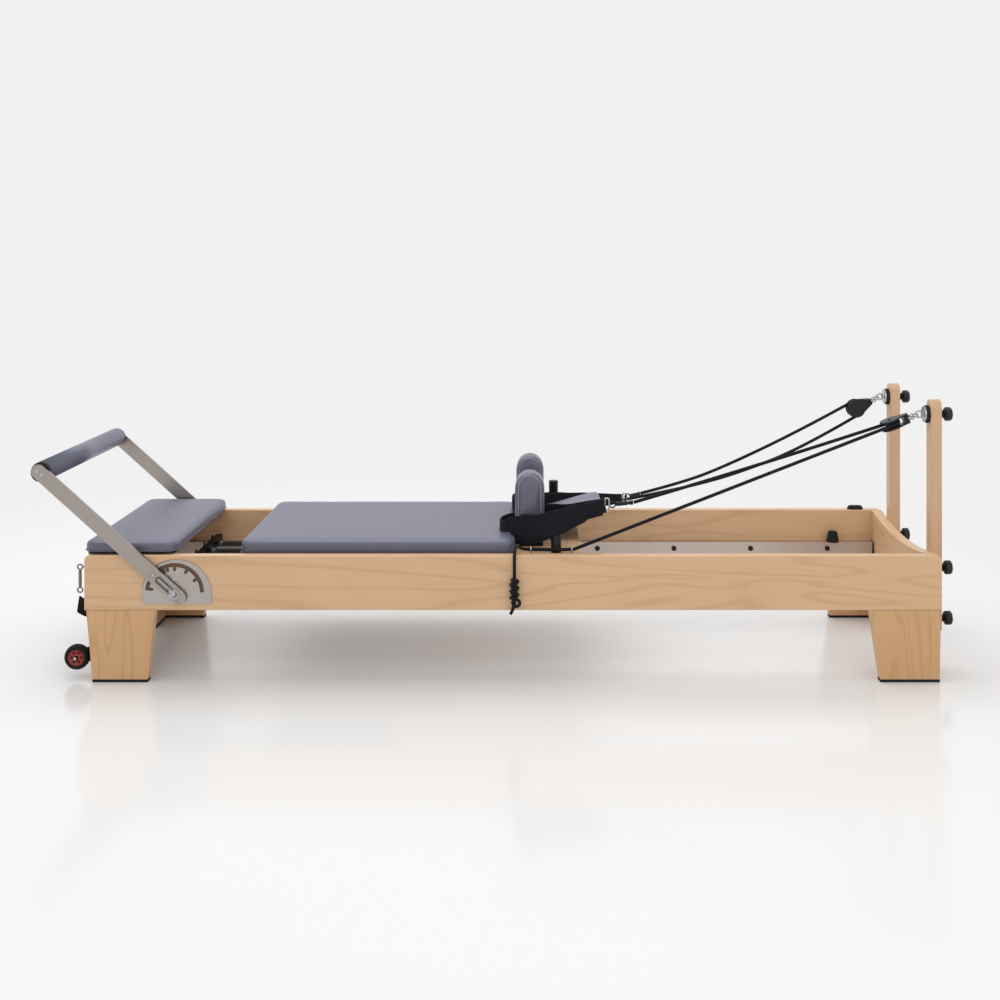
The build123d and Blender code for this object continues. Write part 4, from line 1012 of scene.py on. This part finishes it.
def bump(wire, shader, strength, distance):
    lumps = wire.add("ShaderNodeBump", {}, {"Strength": strength, "Distance": distance, "Height": wire})
    feed(lumps, shader, "Normal")


# the last entry is the colour of the painted shade in the quadrant plate's channel
timber = {
    "light": (0.655, 0.425, 0.246), "mid": (0.605, 0.376, 0.204), "line": (0.500, 0.292, 0.150),
    "rough": 0.42, "coat": 0.22, "pocket": (0.10, 0.045, 0.022),
}


def mapleFinish(name, stretch, tint=(1, 1, 1), pocket=None):
    # pale even maple: wide clouds, fine pores and sparse growth lines, the crests of a sine of stretched noise; where
    # a centre for the quadrant plate's channel is given, painted shade darkens the wood inside it
    material, shader, at = newFinish(name, timber["rough"], Coat_Weight=timber["coat"], Coat_Roughness=0.3)
    grain = at.scaled(stretch)
    broad = grain.noise(0.9, 2.0, 0.45, 0.5)
    rings = (broad * 62.0).maths("SINE") * 0.5 + 0.5
    crest = rings.maths("POWER", 7.0)
    fine = at.scaled([s * 7 for s in stretch]).noise(2.0, 4.0, 0.65)
    cloud = at.noise(3.2, 3.0)
    light, mid, line = ([c * t for c, t in zip(timber[key], tint)] for key in ("light", "mid", "line"))
    body = (cloud * 0.55 + fine * 0.45).ramp((0.30, mid), (0.66, light))
    lined = (crest * (0.20 + fine * 0.55)).mixed(body, line)
    if pocket is not None:
        # painted shade: the wood inside the plate's cut channel is darkened, on the rail's outer face only, standing
        # in for the shade in the channel
        x, y, z = at.parts()
        away = ((x - pocket[0]) * (x - pocket[0]) + (z - pocket[2]) * (z - pocket[2])).maths("SQRT")
        inside = away.maths("LESS_THAN", lock["pocketRadius"]) * y.maths("ABSOLUTE").maths("GREATER_THAN", pocket[1])
        inside = inside * z.maths("GREATER_THAN", lock["pocketFoot"])
        lined = inside.mixed(lined, timber["pocket"])
    feed(lined, shader, "Base Color")
    feed(0.36 + fine * 0.14, shader, "Roughness")
    bump(fine * 0.6 + crest * 0.3, shader, 0.07, 0.0005)
    return material


def vinylFinish():
    # upholstery vinyl: cells of a fine leather print, softened, over a faint cloudy tone; painted reflection: the
    # lavender specular and sheen tints stand in for a lavender sky reflected in the top, and the bluish base is
    # partly the vinyl's own tint and partly painted reflection
    material, shader, at = newFinish("greyVinyl", 0.40, Specular_IOR_Level=0.85, Specular_Tint=(0.80, 0.82, 1.0, 1),
                                     Sheen_Weight=0.16, Sheen_Roughness=0.4, Sheen_Tint=(0.68, 0.70, 1.0, 1))
    cells = at.add("ShaderNodeTexVoronoi", {"feature": "DISTANCE_TO_EDGE"}, {"Vector": at, "Scale": 620.0})
    wrinkle = at.noise(60.0, 4.0, 0.6)
    cloud = at.noise(5.0, 3.0)
    feed((cloud * 0.7 + wrinkle * 0.3).mixed((0.088, 0.088, 0.122), (0.112, 0.112, 0.150)), shader, "Base Color")
    feed(0.33 + wrinkle * 0.14, shader, "Roughness")
    bump(cells * 0.7 + wrinkle * 0.3, shader, 0.16, 0.0006)
    return material


def brushedFinish(name, stretch, turn, colour, rough=0.30):
    # fine scratches: a noise stretched along the brushing
    material, shader, at = newFinish(name, rough, 1.0)
    hair = at.scaled(stretch, turn).noise(40.0, 3.0, 0.7)
    smear = at.noise(7.0, 2.0)
    dark = tuple(c * 0.80 for c in colour)
    feed((hair * 0.6 + smear * 0.4).mixed(dark, colour), shader, "Base Color")
    feed(rough - 0.08 + hair * 0.18, shader, "Roughness")
    bump(hair, shader, 0.10, 0.0002)
    return material


def wornFinish(name, colour, rough, scale=240.0, strength=0.12, metal=0.0, **fixed):
    # moulded or painted black and colours: fine orange peel with a little tone and gloss change
    material, shader, at = newFinish(name, rough, metal, **fixed)
    peel = at.noise(scale, 3.0, 0.6)
    tone = at.noise(9.0, 3.0)
    light = tuple(c * 1.35 + 0.004 for c in colour)
    feed((tone * 0.7 + peel * 0.3).mixed(colour, light), shader, "Base Color")
    feed(rough - 0.07 + tone * 0.14, shader, "Roughness")
    bump(peel, shader, strength, 0.0004)
    return material


def wovenFinish(name, along, across, colour, light, rough=0.82):
    # warp and weft: the product of two sines on the piece's own length and way round
    material, shader, uv = newFinish(name, rough, coordinates="UV", Specular_IOR_Level=0.22, Sheen_Weight=0.03)
    run, way, _ = uv.parts()
    warp = (run * along + way * across).maths("SINE")
    weft = (run * along - way * across).maths("SINE")
    weave = warp * weft * 0.5 + 0.5
    feed(weave.mixed(colour, light), shader, "Base Color")
    bump(weave, shader, 0.5, 0.0008)
    return material


pivotSpot = (midX + lock["pivotX"], lock["railFace"], lock["pivotZ"])
# the rails' wood gets painted shade in the quadrant plate's channel round the footbar pivot
railWood = mapleFinish("mapleRails", (0.8, 9, 9), pocket=pivotSpot)
legWood = mapleFinish("mapleLegs", (9, 9, 0.9), (0.93, 0.86, 0.72))
riserWood = mapleFinish("mapleRisers", (9, 9, 0.8), (0.90, 0.90, 0.90))
crossWood = mapleFinish("mapleCross", (9, 0.8, 9))
vinyl = vinylFinish()
stainless = brushedFinish("brushedStainless", (0.6, 30, 30), (0, armAngle, 0), (0.43, 0.385, 0.35), 0.32)
plateSteel = brushedFinish("plateStainless", (0.6, 30, 30), (0, 0, 0), (0.50, 0.455, 0.425), 0.36)
# the aluminium's warm tint is a painted reflection of the maple round the tracks
aluminium = brushedFinish("aluminiumWithPaintedWarmReflection", (0.5, 40, 40), (0, 0, 0), (0.66, 0.58, 0.52), 0.42)
bright = brushedFinish("brightSteel", (4, 4, 4), (0, 0, 0), (0.50, 0.49, 0.50), 0.17)
clipSteel = brushedFinish("clipSteel", (4, 4, 4), (0, 0, 0), (0.26, 0.25, 0.24), 0.35)
springSteel = brushedFinish("springSteel", (8, 8, 8), (0, 0, 0), (0.085, 0.085, 0.09), 0.38)
blackPlastic = wornFinish("blackPlastic", (0.004, 0.004, 0.006), 0.38, Specular_IOR_Level=0.35)
blackRubber = wornFinish("blackRubber", (0.006, 0.006, 0.007), 0.7, 320.0, 0.2, Specular_IOR_Level=0.25)
blackPaint = wornFinish("blackPowderCoat", (0.004, 0.004, 0.005), 0.48, 500.0, 0.18, Specular_IOR_Level=0.3)
redPlastic = wornFinish("redHub", (0.27, 0.020, 0.012), 0.34)
whiteNylon = wornFinish("whiteNylon", (0.58, 0.57, 0.54), 0.45)
piping = wornFinish("palePiping", (0.20, 0.20, 0.26), 0.42)
ropeBraid = wovenFinish("braidedRope", 1400.0, 12.566, (0.0015, 0.0015, 0.003), (0.010, 0.010, 0.016), 0.75)
webWeave = wovenFinish("blackWebbing", 1500.0, 260.0, (0.002, 0.002, 0.004), (0.008, 0.008, 0.014), 0.75)


def wear(things, material):
    for thing in things:
        thing.data.materials.clear()
        thing.data.materials.append(material)


nodeFinishes = {
    "side_rail_near": railWood, "side_rail_far": railWood, "head_board": crossWood, "foot_board": crossWood,
    "legs": legWood, "risers": riserWood, "carriage_board": crossWood,
    "foot_platform_board": blackPaint, "headrest_board": blackPaint, "leg_pads": blackRubber, "tracks": aluminium,
    "track_bolts": blackPaint, "track_stops": blackRubber, "rail_peg": blackRubber, "spring_bar": blackPaint,
    "wheel_brackets": blackPaint, "foot_strap_hooks": clipSteel, "quadrants": plateSteel, "quadrant_screws": bright,
    "footbar_pivots": bright, "footbar_arms": stainless, "footbar_screws": bright, "footbar_tube": bright,
    "footbar_caps": blackPlastic, "latch_near": stainless, "latch_far": stainless, "carriage_brackets": blackPaint,
    "shoulder_brackets": blackPaint, "strap_posts": blackPlastic, "rope_eyelets": bright, "pulley_hangers": bright,
    "eye_washers": blackRubber, "pulley_cages": blackPlastic, "sheave_near": blackPlastic, "sheave_far": blackPlastic,
}
for rollerPlace in ("foot", "head"):
    for rollerSide in ("near", "far"):
        nodeFinishes[f"roller_{rollerPlace}_{rollerSide}"] = whiteNylon
for nodeName, finish in nodeFinishes.items():
    wear([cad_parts[nodeName]], finish)

wear(vinylPieces + sleevePieces, vinyl)
wear([piece for piece in vinylPieces if "welt" in piece.name], piping)
wear(ropePieces, ropeBraid)
wear(loopPieces, webWeave)
wear([piece for coil, sleeves in springPieces for piece in [coil] + sleeves], springSteel)
wear([piece for group in wheels for piece in group[0]], blackRubber)
wear([group[1] for group in wheels], redPlastic)
wear([group[2] for group in wheels], bright)
wear(knobPieces, blackPlastic)
wear(ringPieces, bright)
wear(hookPieces, blackPaint)
wear(capPieces, blackRubber)
# the dark ring round each latch's slot is painted shade
wear([pair[0] for pair in latchPieces], blackPaint)
wear([pair[1] for pair in latchPieces], bright)
print("materials")
